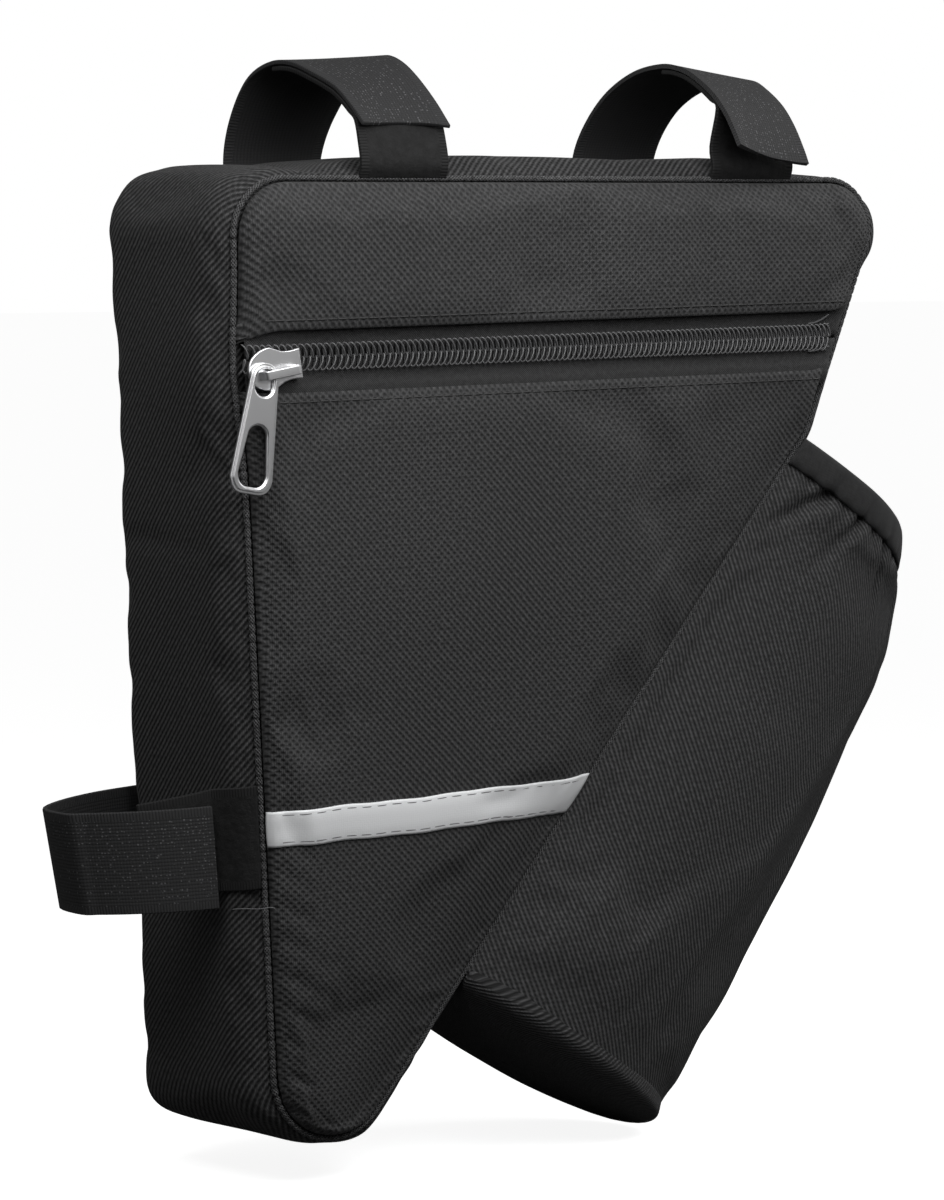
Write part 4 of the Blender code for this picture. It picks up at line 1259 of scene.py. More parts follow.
def make_pull():
    """The tab with its eye and slot cut through a plate and a smaller raised plate."""
    centre = hung_point(NOSE_POST, -BRIDGE_DROP, 0.0)
    cos, sin = math.cos(PULL_LEAN), math.sin(PULL_LEAN)
    middle = SLIDER_FACE + BRIDGE_WINDOW / 2

    def place(across, down, out):
        return Vector((centre.x + across * cos - down * sin, -out,
                       centre.z - across * sin - down * cos))

    top = PULL_EYE_DROP - PULL_TOP_WIDTH / 2
    foot = PULL_LENGTH + top
    half = PULL_THICKNESS / 2
    plan = tab_plan(PULL_TOP_WIDTH, PULL_BOTTOM_WIDTH, top, foot - PULL_FOOT_BOW, PULL_CORNER)
    back = plate("back", plan, place, middle - half, middle + half * 0.35, 0.0)
    plan = tab_plan(PULL_TOP_WIDTH - 2 * PULL_STEP, PULL_BOTTOM_WIDTH - 2 * PULL_STEP,
                    top + PULL_STEP, foot - PULL_STEP - PULL_FOOT_BOW, PULL_CORNER - 0.0004)
    front = plate("front", plan, place, middle, middle + half, 0.0)
    slot_end = foot - PULL_RIM
    for piece, grow in ((back, 0.0), (front, 0.0003)):
        eye = []
        for k in range(26):
            turn = math.tau * (k - k // 13) / 24
            reach = PULL_EYE_REACH if k < 13 else 0.0
            eye.append(((PULL_EYE / 2 + grow) * math.cos(turn),
                        PULL_EYE_DROP + reach + (PULL_EYE / 2 + grow) * math.sin(turn)))
        slot = tab_plan(PULL_SLOT_TOP + 2 * grow, PULL_SLOT_BOTTOM + 2 * grow,
                        slot_end - PULL_SLOT_LENGTH - grow, slot_end + grow - PULL_FOOT_BOW,
                        PULL_SLOT_CORNER + grow)
        for plan in (eye, slot):
            cutter = plate("cutter", plan, place, middle - 2 * half, middle + 2 * half, 0.0)
            cut = piece.modifiers.new("cut", "BOOLEAN")
            cut.operation = "DIFFERENCE"
            cut.object = cutter
            finished(piece, cut)
            bpy.data.objects.remove(cutter)
        round_edges(piece, 0.00022)
    pull = join([back, front], "pull_tab")
    pull.data.materials.append(nickel)
    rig.ride(pull, "pull")
    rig.replaces(pull, "zipper_pull")
    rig.slot(pull, "zip_metal")


make_pull()


# Stitching beside the zip. Black thread dips into the cloth at every stitch: one row on
# each panel edge, about 2 mm from the fold.
THREAD = 0.00021
STITCH = 0.0029
STITCH_ROWS = {1: 0.0021, -1: 0.0019}

thread_black = plain_finish("black_thread", (0.02, 0.02, 0.02), 0.6)
thread_grey = plain_finish("grey_thread", (0.14, 0.14, 0.145), 0.6)


def skin_of(cloth):
    """A tree of a piece's faces, for finding its surface."""
    return BVHTree.FromPolygons([v.co for v in cloth.data.vertices],
                                [f.vertices for f in cloth.data.polygons])


def front_skin(tree, x, z):
    """The point of a front piece's surface straight in front of (x, z), and its normal."""
    point, normal, _, _ = tree.ray_cast(Vector((x, -0.2, z)), Vector((0, 1, 0)))
    return (point, normal) if point else (Vector((x, -sewn_depth(x, z), z)), Vector((0, -1, 0)))


def sewn_thread(name, spots, pitch, radius, finish, per_stitch=8, rise=0.9):
    """A thread along spots of (point, normal) that dips into the cloth at each stitch."""
    lengths = [0.0]
    for (a, _), (b, _) in zip(spots, spots[1:]):
        lengths.append(lengths[-1] + (b - a).length)
    stitches = max(1, round(lengths[-1] / pitch))
    path, k = [], 0
    for step in range(stitches * per_stitch + 1):
        at = lengths[-1] * step / (stitches * per_stitch)
        while k < len(spots) - 2 and lengths[k + 1] < at:
            k += 1
        share = (at - lengths[k]) / max(lengths[k + 1] - lengths[k], 1e-9)
        point = spots[k][0].lerp(spots[k + 1][0], share)
        normal = spots[k][1].lerp(spots[k + 1][1], share).normalized()
        wave = abs(math.sin(math.pi * step / per_stitch)) ** 0.6
        path.append(point + normal * radius * (wave * (1 + rise) - 1.3))
    return tube(name, path, radius, 6, finish)


def make_zip_stitches(word, panel, side):
    """The row of stitches along one folded panel edge."""
    tree = skin_of(panel)
    level = FOLD_OFFSETS[side] + STITCH_ROWS[side]
    left, right = (x_inside(edge, 0.004, side * level) for edge in (LEFT_SIDE, RIGHT_SIDE))
    spots = []
    for step in range(181):
        x = left + (right - left) * step / 180
        spots.append(front_skin(tree, x, ZIP_Z + x * ZIP_SLOPE + side * level))
    row = sewn_thread("zip_stitches_" + word, spots, STITCH, THREAD, thread_black)
    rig.ride(row, "bag")


make_zip_stitches("upper", front_upper, 1)
make_zip_stitches("lower", front_lower, -1)


# Reflective strip. Silver tape with a fine raised grid, sewn across the lower panel
# along both of its edges; its ends go into the side seams.
STRIP_WIDTH = 0.0087
STRIP_RAISE = 0.0003
STRIP_DROP = 0.1529
STRIP_TILT = math.radians(2.1)
STRIP_STITCH = 0.0042
STRIP_THREAD = 0.00017
STRIP_INSET = 0.0009
STRIP_THICKNESS = 0.0005
STITCH_FROM_EDGE = 0.0010


def silver_finish():
    """Grey-silver tape: a dull sheen over a fine diamond grid."""
    made = plain_finish("silver_tape", (0.86, 0.87, 0.88), 0.45, 0.1)
    nodes, links = made.node_tree.nodes, made.node_tree.links
    shader = nodes["Principled BSDF"]
    cut = nodes.new("ShaderNodeUVMap")
    cut.uv_map = "cloth"
    grid = nodes.new("ShaderNodeTexVoronoi")
    grid.inputs["Scale"].default_value = 1800.0
    grid.inputs["Randomness"].default_value = 0.35
    links.new(cut.outputs[0], grid.inputs["Vector"])
    bump = nodes.new("ShaderNodeBump")
    bump.inputs["Distance"].default_value = 0.00003
    links.new(grid.outputs["Distance"], bump.inputs["Height"])
    links.new(bump.outputs[0], shader.inputs["Normal"])
    return made


def strip_line(v, inset):
    """Where a line v above the strip's middle starts and ends, at an inset from the seams."""
    ends = []
    for side in (LEFT_SIDE, DIAGONAL_SIDE):
        start, _, normal = side_line(side)
        slope = math.tan(STRIP_TILT)
        level = inset + start.x * normal.x - (SEAM_Z - STRIP_DROP + v - start.y) * normal.y
        ends.append(level / (normal.x + slope * normal.y))
    return ends


def strip_spot(tree, share, v, inset, lift):
    """A point of the strip's face, its normal, and its place along the strip."""
    left, right = strip_line(v, inset)
    x = left + (right - left) * share
    z = SEAM_Z - STRIP_DROP + v + x * math.tan(STRIP_TILT)
    z += 0.00020 * math.sin(x * 150) + 0.0001 * math.sin(x * 430 + 1)
    point, normal = front_skin(tree, x, z)
    return point + normal * lift, normal, x


def make_strip():
    """The tape, with its sewn edges drawn down into the panel, and its two stitch rows."""
    tree = skin_of(front_lower)
    rows = []
    for step in range(91):
        share = step / 90
        share -= 0.1 * math.sin(math.tau * share)
        row = []
        for k in range(9):
            s = k / 8 - 0.5
            lift = 0.00045 + 0.0004 * (1 - (2 * abs(s)) ** 3)
            lift += 0.00008 * math.cos(share * math.tau * 21) * (2 * abs(s)) ** 4
            v = s * STRIP_WIDTH + STRIP_RAISE
            point, _, x = strip_spot(tree, share, v, STRIP_INSET, lift)
            row.append((point, (x, s * STRIP_WIDTH)))
        rows.append(row)
    strip = cloth_grid("silver_strip", rows)
    face_away(strip, BAG_MIDDLE)
    refine(strip)
    thicken(strip, STRIP_THICKNESS)
    strip.data.materials.append(silver_finish())
    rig.ride(strip, "bag")
    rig.replaces(strip, "reflective_strip")
    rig.slot(strip, "reflective_tape")
    for word, side in (("upper", 1), ("lower", -1)):
        v = side * (STRIP_WIDTH / 2 - STITCH_FROM_EDGE) + STRIP_RAISE
        spots = [strip_spot(tree, k / 160, v, 0.003, 0.00062)[:2] for k in range(161)]
        row = sewn_thread("strip_stitches_" + word, spots, STRIP_STITCH, STRIP_THREAD,
                          thread_grey, per_stitch=12, rise=-0.15)
        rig.ride(row, "bag")


make_strip()


# Top straps. Hook webbing sewn into the rear top seam goes over the frame's top tube and
# is pressed on a shorter loop webbing from the front seam. The webbing is a firm woven
# nylon, so it keeps its arch; its hooks and pile face each other in the overlap.
STRAP_WIDTH = 0.025
STRAP_THICKNESS = 0.0012
STRAP_STEP = 0.0015
LEFT_STRAP = (-0.0626, -0.0376)
RIGHT_STRAP = (0.0420, 0.0670)
STRAP_COLUMNS = 14
STRAP_PRESSED = 0.982
SELVAGE = 0.0021
SELVAGE_RIB = 0.00075
WEB_ROW = 0.00085
HOOK_COLUMN = 0.0017

# Depth and height in millimetres of each strap's two edges, from the rear seam forwards.
LEFT_EDGES = (
    ((29, -4.2), (35.0, -2.5), (35.4, 3.2), (32.6, 10.6), (27.2, 18), (21, 22.3), (12, 24.6),
     (3, 24.2), (-6.5, 21.6), (-17.6, 17.7), (-24.9, 13.1), (-30.8, 8.4)),
    ((28.6, -4.2), (30.0, -1), (28.4, 4), (24.8, 9.4), (20.1, 14.3), (14, 19.8), (6, 24),
     (-2, 26), (-9, 24.4), (-16, 20.4), (-24.1, 14.2), (-30.6, 8.2)),
)
RIGHT_EDGES = (
    ((29, -4.2), (32.6, -0.5), (30.2, 6), (23.6, 13.4), (15.2, 19.2), (4.1, 23.4), (-7.4, 24.8),
     (-15, 23.9), (-21.6, 21.6), (-29.6, 17), (-35.2, 12), (-39, 7), (-41.2, 3.6)),
    ((28.8, -4.2), (32.2, -1), (30.0, 5), (25, 11), (18.3, 15.9), (9, 19.5), (-2, 21.1),
     (-12.6, 20.7), (-18.6, 18.3), (-25.4, 13.9), (-30.4, 8.6), (-34.4, 2.6), (-36.2, -0.6)),
)


def smooth_path(knots, steps):
    """A curve through the knots, with steps points to each span."""
    ends = [knots[0] * 2 - knots[1], *knots, knots[-1] * 2 - knots[-2]]
    path = []
    for a, b, c, d in zip(ends, ends[1:], ends[2:], ends[3:]):
        for step in range(steps):
            t = step / steps
            path.append(0.5 * (2 * b + (c - a) * t + (2 * a - 5 * b + 4 * c - d) * t * t
                               + (3 * b - 3 * c + d - a) * t ** 3))
    return path + [knots[-1]]


def webbing_finish(name, dark, light, pile, dots):
    """Webbing with ribbed selvages: plain with light specks, or a fuzzy pile between them.

    The cloth coordinates run across from 0 to the strap's width and along the strap.
    """
    made = bpy.data.materials.new(name)
    made.use_nodes = True
    nodes, links = made.node_tree.nodes, made.node_tree.links
    shader = nodes["Principled BSDF"]
    sums = maths_in(made.node_tree)
    cut = nodes.new("ShaderNodeUVMap")
    cut.uv_map = "cloth"
    split = nodes.new("ShaderNodeSeparateXYZ")
    links.new(cut.outputs[0], split.inputs[0])
    off_centre = sums("ABSOLUTE", sums("SUBTRACT", split.outputs[0], STRAP_WIDTH / 2))
    selvage = sums("GREATER_THAN", off_centre, STRAP_WIDTH / 2 - SELVAGE)

    def striped(output, pitch):
        return sums("ABSOLUTE", sums("SINE", sums("MULTIPLY", output, math.pi / pitch)))

    ribs = striped(split.outputs[1], SELVAGE_RIB)
    fuzz = nodes.new("ShaderNodeTexNoise")
    fuzz.inputs["Scale"].default_value = 420.0
    fuzz.inputs["Detail"].default_value = 6.0
    fuzz.inputs["Roughness"].default_value = 0.7
    links.new(cut.outputs[0], fuzz.inputs["Vector"])
    rows = striped(split.outputs[0], WEB_ROW)
    tufts = sums("MAXIMUM", sums("MULTIPLY_ADD", fuzz.outputs["Fac"], 3.4, -1.3), 0.0)
    field = sums("MULTIPLY", tufts, pile)
    field = sums("ADD", field, sums("MULTIPLY", rows, 0.35 * (1.0 - pile)))
    field = sums("ADD", field, sums("MULTIPLY", ribs, 0.25 * (1.0 - pile)))
    either = nodes.new("ShaderNodeMix")
    links.new(selvage, either.inputs["Factor"])
    links.new(field, either.inputs["A"])
    links.new(sums("MULTIPLY", ribs, 0.8), either.inputs["B"])
    height = either.outputs["Result"]
    colour = nodes.new("ShaderNodeMix")
    colour.data_type = "RGBA"
    colour.inputs["A"].default_value = (*dark, 1)
    colour.inputs["B"].default_value = (*light, 1)
    cells = nodes.new("ShaderNodeTexVoronoi")
    cells.inputs["Scale"].default_value = 1150.0
    cells.inputs["Randomness"].default_value = 0.55
    links.new(cut.outputs[0], cells.inputs["Vector"])
    luck = nodes.new("ShaderNodeSeparateColor")
    links.new(cells.outputs["Color"], luck.inputs[0])
    near = sums("LESS_THAN", cells.outputs["Distance"], 0.27)
    # The specks come in along the strap, from 34 mm to 85 mm from its start, scaled by dots.
    speck_reach = sums("MULTIPLY", ramp(made.node_tree, split.outputs[1], 0.034, 0.085), dots)
    chosen = sums("GREATER_THAN", luck.outputs[0], sums("SUBTRACT", 1.0, speck_reach))
    column = striped(split.outputs[0], HOOK_COLUMN)
    chosen = sums("MULTIPLY", chosen, sums("GREATER_THAN", column, 0.55))
    speck = sums("MULTIPLY", sums("MULTIPLY", near, chosen), sums("SUBTRACT", 1.0, selvage))
    # Painted highlight: the raised ribs, rows and pile tufts are painted towards the light colour, and the hollows
    # stay dark as painted shade; the specks are the webbing's own light dots.
    woven = sums("MULTIPLY", height, 0.25 + 0.3 * pile)
    links.new(sums("MAXIMUM", woven, speck), colour.inputs["Factor"])
    links.new(colour.outputs["Result"], shader.inputs["Base Color"])
    bump = nodes.new("ShaderNodeBump")
    bump.inputs["Distance"].default_value = 0.00012
    links.new(height, bump.inputs["Height"])
    links.new(bump.outputs[0], shader.inputs["Normal"])
    shader.inputs["Roughness"].default_value = 0.75
    shader.inputs["Specular IOR Level"].default_value = 0.3
    shader.inputs["Sheen Weight"].default_value = 0.02
    shader.inputs["Sheen Roughness"].default_value = 0.4
    return made


# Each webbing's first colour is painted shade in its hollows; its second is a painted highlight on raised yarn and
# also the colour of the hook webbing's own specks.
hook_finish = webbing_finish("hook_webbing", (0.013, 0.013, 0.0134), (0.095, 0.095, 0.098),
                             0.0, 1.1)
loop_finish = webbing_finish("loop_webbing", (0.002, 0.002, 0.002), (0.018, 0.018, 0.0185),
                             1.0, 0.0)


def along_rail(rail, share):
    """The point at a share of the way through an edge line's points."""
    at = min(max(share, 0.0), 1.0) * (len(rail) - 1)
    i = min(int(at), len(rail) - 2)
    return rail[i].lerp(rail[i + 1], at - i)


def ribbon(name, rails, columns, cup, end_bow=0.0):
    """Webbing between two edge lines of equal count; cup lifts its middle outwards.

    The end bow is the share of its length by which the cut end's middle is shorter.
    """
    rows, along = [], 0.0
    count = len(rails[0])
    for i in range(count):
        a, b = rails[0][i], rails[1][i]
        if i:
            along += ((a + b) / 2 - (rails[0][i - 1] + rails[1][i - 1]) / 2).length
        forward = rails[0][min(i + 1, count - 1)] - rails[0][max(i - 1, 0)]
        out = (b - a).cross(forward).normalized()
        row = []
        for k in range(columns + 1):
            s = k / columns
            middle = 1 - (2 * s - 1) ** 2
            share = i / (count - 1) * (1 - end_bow * middle)
            point = along_rail(rails[0], share).lerp(along_rail(rails[1], share), s)
            point += out * cup(share) * middle
            row.append((point, (s * STRAP_WIDTH, along)))
        rows.append(row)
    return cloth_grid(name, rows)


def finish_strap(strap, finish, slot):
    """Gives webbing its thickness, both ways from the middle, and its rounded edges."""
    wall = strap.modifiers.new("wall", "SOLIDIFY")
    wall.thickness = STRAP_THICKNESS
    wall.offset = 0.0
    finished(strap, wall)
    round_edges(strap, 0.0003, 2)
    strap.data.materials.append(finish)
    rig.slot(strap, slot)


def pushed(rail, across, distance):
    """An edge line moved square to itself and to the direction across the strap."""
    moved = []
    for i, point in enumerate(rail):
        along = (rail[min(i + 1, len(rail) - 1)] - rail[max(i - 1, 0)]).normalized()
        moved.append(point + across.cross(along).normalized() * distance)
    return moved


def make_top_strap(word, x_edges, edges, bare, overlap, cup, end_bow):
    """The hook strap and, in front, the loop strap that it is pressed on."""
    across = Vector((1, 0, 0))
    rails = []
    for x, knots in zip(x_edges, edges):
        spots = []
        for y, z in knots:
            height = z * STRAP_PRESSED if z > 0 else z
            spots.append(Vector((x, y / 1000, height / 1000)))
        rails.append(smooth_path(spots, 6))
    for rail, fray in zip(rails, (0.0, 0.0006)):
        rail[-1] += (rail[-1] - rail[-2]).normalized() * fray
    hook = ribbon(word + "_hook_webbing", rails, STRAP_COLUMNS, cup, end_bow)
    finish_strap(hook, hook_finish, "hook_webbing")
    root = (rails[0][0] + rails[1][0]) / 2
    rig.blend(hook, "bag", word, start=root, end=root + Vector((0.0, -0.6, 0.8)) * 0.004)
    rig.replaces(hook, word + "_hook")
    last = len(rails[0]) - bare
    loops = []
    for x, rail in zip(x_edges, rails):
        under = pushed(rail, across, STRAP_STEP)[last - overlap:last:3][::-1]
        leg = [Vector((x, -HALF_DEPTH + 0.0004, SEAM_Z + 0.0004)),
               Vector((x, -HALF_DEPTH - 0.0007, SEAM_Z + 0.0035)),
               Vector((x, -HALF_DEPTH + 0.0002, SEAM_Z + 0.0085))]
        loops.append(smooth_path(leg + under, 4))
    loop = ribbon(word + "_loop_webbing", loops, STRAP_COLUMNS, lambda t: 0.0)
    finish_strap(loop, loop_finish, "loop_webbing")
    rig.ride(loop, "bag")
    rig.replaces(loop, word + "_loop")


make_top_strap("top_left_strap", LEFT_STRAP, LEFT_EDGES, 3, 28,
               lambda t: 0.0016 * max(0.0, (t - 0.8) / 0.2) ** 1.5, 0.022)
make_top_strap("top_right_strap", RIGHT_STRAP, RIGHT_EDGES, 15, 22,
               lambda t: 0.0012 * max(0.0, (t - 0.7) / 0.3) ** 1.5, -0.012)


# Side strap. It goes round the seat tube: hook webbing from the rear left seam folds back
# in a narrow bend over the loop webbing from the front left seam.
SIDE_STRAP_DROP = 0.1625
SIDE_REACH = 0.0406
SIDE_TAPER = 0.09
SIDE_ARC = 0.0503
LOOP_RISE = 0.0048
LOOP_LEVELLED = 0.7
LOOSE_THREAD = 0.00011
LOOSE_END = ((-0.0985, -0.0262, -0.1801), (-0.0972, -0.0290, -0.1797), (-0.0935, -0.0312, -0.1798),
             (-0.0912, -0.0322, -0.1795), (-0.0900, -0.0326, -0.1798))
STRAP_FOOT = PANEL_EDGE + 0.0007


def side_strap_place():
    """Puts a point given out from the left side, in depth and up the strap's width."""
    start, along, inward = side_line(LEFT_SIDE)
    centre = start + along * ((SEAM_Z - SIDE_STRAP_DROP - start.y) / along.y)

    def place(out, y, rise):
        short = 1.0 - SIDE_TAPER * (0.5 - rise / STRAP_WIDTH)
        spot = centre - inward * (STRAP_FOOT + (out - STRAP_FOOT) * short) + along * rise
        return Vector((spot.x, y, spot.y))

    return place


def make_side_strap():
    """The folded hook strap, and the loop strap under its end."""
    place = side_strap_place()
    root = Vector((STRAP_FOOT, HALF_DEPTH))
    leg = [root, Vector((SIDE_REACH * 0.38, HALF_DEPTH * 0.9)),
           Vector((SIDE_REACH * 0.72, HALF_DEPTH * 0.66)),
           Vector((SIDE_REACH * 0.95, HALF_DEPTH * 0.33))]

    def arc(radius, first, last, steps):
        turns = [math.radians(first + (last - first) * k / steps) for k in range(steps + 1)]
        return [root + Vector((math.sin(t), -math.cos(t))) * radius for t in turns]

    hook_line = smooth_path(leg + arc(SIDE_ARC, 50, 9, 8), 4)
    loop_line = smooth_path([Vector((STRAP_FOOT, -HALF_DEPTH)),
                             Vector((STRAP_FOOT + 0.003, -0.0259))]
                            + arc(SIDE_ARC - STRAP_STEP, 8, 30, 5), 4)
    half = STRAP_WIDTH / 2
    for word, line, finish, slot in (("hook", hook_line, hook_finish, "hook_webbing"),
                                     ("loop", loop_line, loop_finish, "loop_webbing")):
        rails = []
        lift = LOOP_RISE if word == "loop" else 0.0
        for rise in (half, -half):
            rail = []
            for k, p in enumerate(line):
                level = rise + lift * (1.0 - LOOP_LEVELLED * k / (len(line) - 1))
                rail.append(place(p.x, p.y, level))
            rails.append(rail)
        strap = ribbon("side_strap_" + word + "_webbing", rails, STRAP_COLUMNS, lambda t: 0.0)
        finish_strap(strap, finish, slot)
        if word == "hook":
            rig.blend(strap, "bag", "side_strap", start=place(STRAP_FOOT, HALF_DEPTH, 0.0),
                     end=place(STRAP_FOOT + 0.004, HALF_DEPTH, 0.0))
        else:
            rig.ride(strap, "bag")
        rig.replaces(strap, "side_strap_" + word)


make_side_strap()


def make_loose_end():
    """A loose thread left where the side strap's loop is sewn into the front seam."""
    spots = [Vector(spot) for spot in LOOSE_END]
    loose = tube("loose_thread", smooth_path(spots, 5), LOOSE_THREAD, 6, thread_grey)
    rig.ride(loose, "bag")


make_loose_end()


# Bottle pocket. A sleeve of thicker twill sewn to the slanting side, closed by a base,
# with a smooth bound mouth whose elastic gathers the sleeve into puckers.
POCKET_START = 0.002
POCKET_LENGTH = 0.167
POCKET_DEPTH = 0.083
POCKET_HALF_WIDTH = 0.036
POCKET_SWELL = 3.2
SLEEVE_ACROSS = 0.190
MOUTH_DEPTH = 0.0525
MOUTH_HALF_WIDTH = 0.0315
MOUTH_RISE = 0.004
BASE_RISE = 0.0089
POCKET_EDGE = 0.0003
BINDING_WIDTH = 0.0088
GATHER_PUFF = 0.0014
GATHER_SPREAD = 0.017
WIDEST_AT = 0.42
SLEEVE_CLOTH = 0.0011
BINDING_CLOTH = 0.0006
SLEEVE_HOLD = 0.004
SLEEVE_START = 0.004
ROUND_LENGTH = 0.095
SWELL_BELOW_MOUTH = (0.0038, 0.0287, 0.0151)
DIP_AT_MIDDLE = (0.0031, 0.0994, 0.0372)

# The elastic's gathers, from the front seam round to the rear one: the share round the
# mouth, the depth of the valley, how far it runs down the sleeve, and its lean.
GATHERS = (
    (-0.975, 0.0014, 0.007, 1), (-0.925, 0.0026, 0.010, 1), (-0.862, 0.0054, 0.021, -6),
    (-0.815, 0.0016, 0.007, 1), (-0.745, 0.0038, 0.011, -4), (-0.665, 0.0016, 0.008, 3),
    (-0.575, 0.0032, 0.013, 2), (-0.47, 0.0016, 0.007, -2), (-0.34, 0.0024, 0.011, 2),
    (-0.20, 0.0014, 0.008, -3), (-0.05, 0.0026, 0.014, 2), (0.09, 0.0014, 0.008, 0),
    (0.21, 0.0026, 0.012, -3), (0.34, 0.0014, 0.009, 2), (0.47, 0.0024, 0.012, 3),
    (0.60, 0.0014, 0.008, -2), (0.71, 0.0028, 0.015, -4), (0.82, 0.0016, 0.009, 2),
    (0.91, 0.0020, 0.010, 4),
)


def pocket_point(down, out, across):
    """A point given down the slanting side, out from it and across the bag's depth."""
    start, along, inward = side_line(DIAGONAL_SIDE)
    spot = start + along * (POCKET_START + down) - inward * out
    return Vector((spot.x, across, spot.y))


def bulge(down, height, middle, spread):
    """A smooth hump along the pocket's length."""
    return height * math.exp(-((down - middle) / spread) ** 2)


def pocket_size(down):
    """How far the pocket stands out and half its width: gathered in at the mouth."""
    swell = 1.0 - (1.0 - min(down / POCKET_LENGTH, 1.0)) ** POCKET_SWELL
    depth = MOUTH_DEPTH + (POCKET_DEPTH - MOUTH_DEPTH) * swell
    depth += bulge(down, *SWELL_BELOW_MOUTH) - bulge(down, *DIP_AT_MIDDLE)
    depth += 0.0016 * eased(down, 0.008, 0.030) + 0.0005 * eased(down, 0.12, 0.16)
    return depth, MOUTH_HALF_WIDTH + (POCKET_HALF_WIDTH - MOUTH_HALF_WIDTH) * swell


def pocket_slope(down, out):
    """The mouth and the base both rise towards their outer edges."""
    share = down / POCKET_LENGTH
    return -(MOUTH_RISE * (1.0 - share) + BASE_RISE * share) * out / pocket_size(down)[0]


def pocket_turns(columns):
    """Angles round the sleeve's section, from its front edge to its rear edge."""
    return [-1.0 + 2.0 * k / columns for k in range(columns + 1)]


def pocket_skin(down, share, offset):
    """A point of the sleeve at a share from -1 to 1 round it, moved out by an offset."""
    depth, half = pocket_size(down)
    widest = depth * WIDEST_AT
    close = math.acos(HALF_DEPTH / half)
    turn = share * (math.pi / 2 + close)
    reach = depth - widest
    if abs(turn) > math.pi / 2:
        reach = (widest - POCKET_EDGE) / math.sin(close)
    out, across = widest + reach * math.cos(turn), half * math.sin(turn)
    normal = Vector((math.cos(turn) / reach, math.sin(turn) / half)).normalized()
    slope = pocket_slope(down, out)
    return pocket_point(down + slope, out + normal.x * offset, across + normal.y * offset)


# For each of these, the first colour is painted shade between the ribs and the second a painted highlight on the
# raised yarn.
pocket_twill = woven_finish("pocket_twill", (0.015, 0.015, 0.0152), (0.108, 0.108, 0.110),
                            yarn=0.00037, relief=0.00028, sheen=0.05, crossed=0.7, loose=0.6)
base_twill = woven_finish("base_twill", (0.006, 0.006, 0.0061), (0.09, 0.09, 0.092),
                          yarn=0.0004, relief=0.0003, crossed=0.4)
binding_weave = woven_finish("binding_weave", (0.016, 0.016, 0.0163), (0.034, 0.034, 0.0347),
                             yarn=0.00022, wale=2.0, relief=0.00006, rough=0.7, sheen=0.08)


def sunk_at(share, below):
    """How deep the gathers are at a share round the sleeve, some way below the binding."""
    sunk = 0.0
    for at, depth, reach, lean in GATHERS:
        fade = math.exp(-(below / reach) ** 1.5)
        sunk += depth * fade * math.exp(-((share - at - lean * below) / GATHER_SPREAD) ** 2)
    return sunk


def pucker_at(share, down):
    """How far the gathered sleeve stands out of its even surface, near the mouth."""
    below = max(0.0, down - BINDING_WIDTH)
    puff = GATHER_PUFF * math.exp(-((below - 0.004) / 0.006) ** 2)
    return puff - sunk_at(share, below)


def make_sleeve():
    """The sleeve, gathered at the mouth and slack over its length."""
    rows = []
    count = 62
    for step in range(count + 1):
        share = step / count
        down = SLEEVE_START + (POCKET_LENGTH - SLEEVE_START) * (share ** 1.25)
        row = []
        for s in pocket_turns(140):
            inner = min(1.0, (1.0 - abs(s)) / 0.12)
            ruffle = pucker_at(s, down) * inner
            sag = noise.noise(Vector((down * 24, s * 2.6, 7.7))) * 0.0011
            sag += noise.noise(Vector((down * 60, s * 5.0, 1.7))) * 0.0004
            point = pocket_skin(down, s, ruffle + sag * inner)
            row.append((point, (s * ROUND_LENGTH, -down)))
        rows.append(row)
    sleeve = cloth_grid("pocket_sleeve_cloth", rows)
    face_away(sleeve, pocket_point(0.08, 0.03, 0.0))
    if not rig.quick():
        start, _, inward = side_line(DIAGONAL_SIDE)

        def held(co):
            flat = Vector((co.x, co.z)) - start
            out = -flat.dot(inward)
            along = flat.dot(side_line(DIAGONAL_SIDE)[1]) - pocket_slope(0.08, out)
            return out < SLEEVE_HOLD or along < 0.011 or along > POCKET_LENGTH - 0.009

        settle(sleeve, held, 2.0, 0.02, 0.0013)
    refine(sleeve)
    thicken(sleeve, SLEEVE_CLOTH)
    sleeve.data.materials.append(pocket_twill)
    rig.ride(sleeve, "bag")
    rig.replaces(sleeve, "pocket_sleeve")
    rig.slot(sleeve, "gusset_fabric")
    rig.sheet(sleeve, flat=(POCKET_LENGTH, SLEEVE_ACROSS), held="gathered")


make_sleeve()


def make_binding():
    """The smooth band folded over the mouth, slightly waved by the elastic inside it."""
    section = ((0.0083, -0.0016), (0.0060, -0.0018), (0.0034, -0.0019), (0.0014, -0.0018),
               (0.0004, -0.0011), (0.0, 0.0), (0.0004, 0.0012), (0.0014, 0.0015),
               (0.0030, 0.0017), (0.0048, 0.0018), (0.0066, 0.0018), (0.0080, 0.0016),
               (0.0087, 0.0010), (0.0085, 0.0002))
    rows = []
    for s in pocket_turns(144):
        row = []
        for k, (down, offset) in enumerate(section):
            scallop = -0.25 * sunk_at(s, 0.0) * (down / BINDING_WIDTH) ** 2
            wave = -0.22 * sunk_at(s, 0.0) * (down / BINDING_WIDTH if offset > 0 else 0.0)
            point = pocket_skin(down + scallop, s, offset + wave)
            row.append((point, (s * ROUND_LENGTH, k * 0.0012)))
        rows.append(row)
    binding = cloth_grid("pocket_binding_cloth", rows)
    face_away(binding, pocket_point(0.007, 0.03, 0.0))
    refine(binding)
    thicken(binding, BINDING_CLOTH)
    binding.data.materials.append(binding_weave)
    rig.ride(binding, "bag")
    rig.replaces(binding, "pocket_binding", "pocket_elastic")
    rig.slot(binding, "binding_fabric")


make_binding()


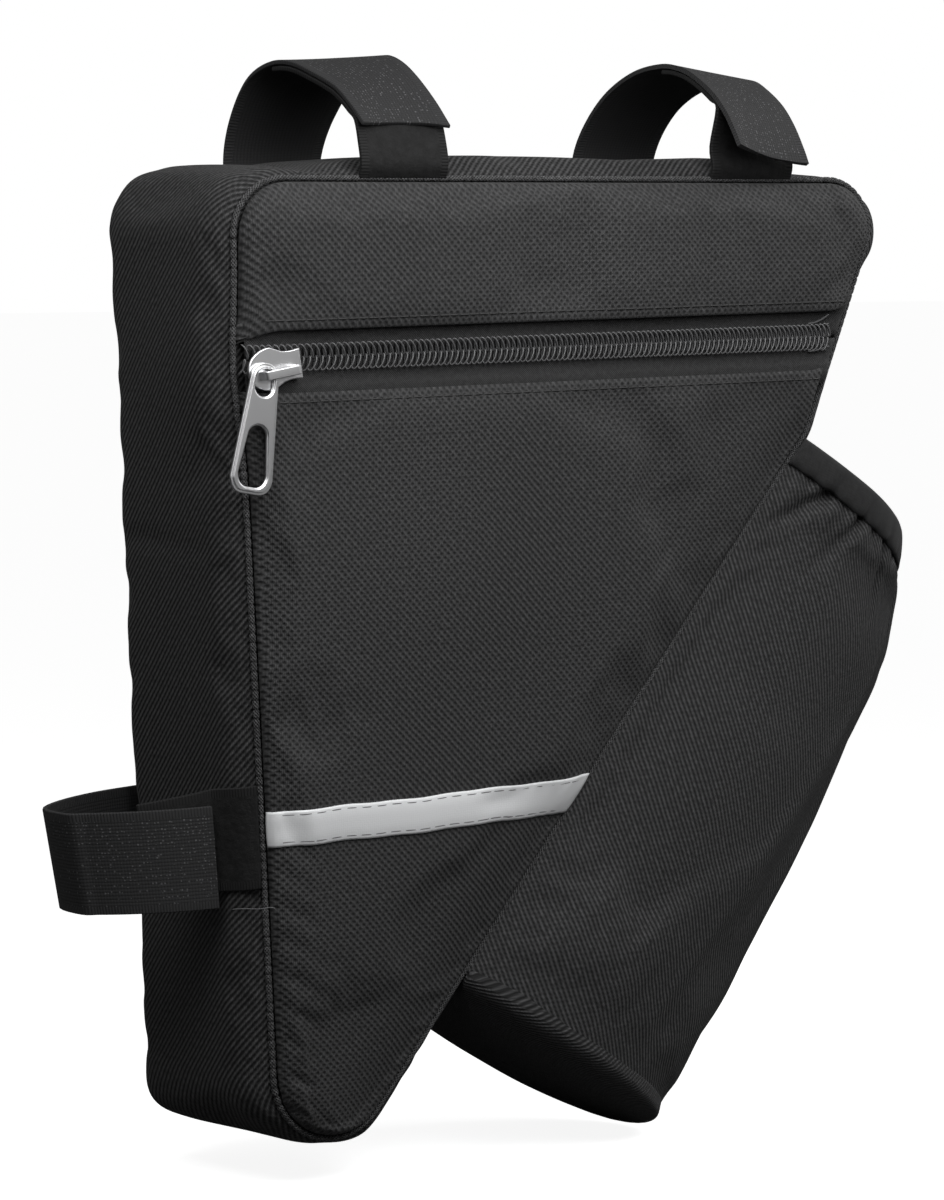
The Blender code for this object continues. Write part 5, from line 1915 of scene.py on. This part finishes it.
def make_base():
    """The base: a bulging panel whose folded edge is sewn to the sleeve's end."""
    levels = ((0.0, -0.0006, -0.0034), (0.0, 0.0002, -0.0010), (0.0, 0.0007, 0.0004),
              (0.004, 0.0004, 0.0018), (0.03, 0.0, 0.0030), (0.10, 0.0, 0.0043),
              (0.24, 0.0, 0.0057), (0.44, 0.0, 0.0068), (0.68, 0.0, 0.0074), (0.9, 0.0, 0.0076),
              (0.995, 0.0, 0.0076))
    centre = Vector((POCKET_DEPTH * 0.51, 0.0))
    inward = side_line(DIAGONAL_SIDE)[2]
    foot = pocket_point(POCKET_LENGTH, 0.0, 0.0)
    rim = []
    for s in pocket_turns(96):
        spots = [pocket_skin(POCKET_LENGTH, s, offset) - foot for _, offset, _ in levels]
        rim.append([Vector((-Vector((p.x, p.z)).dot(inward), p.y)) for p in spots])
    for k in range(1, 24):
        y, height = crown(1.0 - k / 24, 1.0)
        rim.append([Vector((height * 0.9, y))] * len(levels))
    rim.append(rim[0])
    rows = []
    for spots in rim:
        row = []
        for (shrink, _, bulged), spot in zip(levels, spots):
            flat = spot.lerp(centre, shrink)
            wave = noise.noise(Vector((flat.x * 40, flat.y * 40, 2.0))) * 0.0006
            wave *= min(1, shrink * 9)
            down = POCKET_LENGTH + pocket_slope(POCKET_LENGTH, flat.x) + bulged + wave
            row.append((pocket_point(down, flat.x, flat.y), (flat.y, flat.x + bulged)))
        rows.append(row)
    base = cloth_grid("pocket_base_cloth", rows)
    face_away(base, pocket_point(0.10, 0.03, 0.0))
    refine(base)
    thicken(base, SLEEVE_CLOTH)
    base.data.materials.append(base_twill)
    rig.ride(base, "bag")
    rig.replaces(base, "pocket_base")
    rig.slot(base, "gusset_fabric")


make_base()


# Extents. The CAD model's box and the dressed object's box both go on file.
dressed_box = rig.bounds()
with open("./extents.json", "w") as sizes:
    json.dump({"cad_m": [list(cad_box[0]), list(cad_box[1])],
               "visual_m": [list(dressed_box[0]), list(dressed_box[1])]}, sizes)
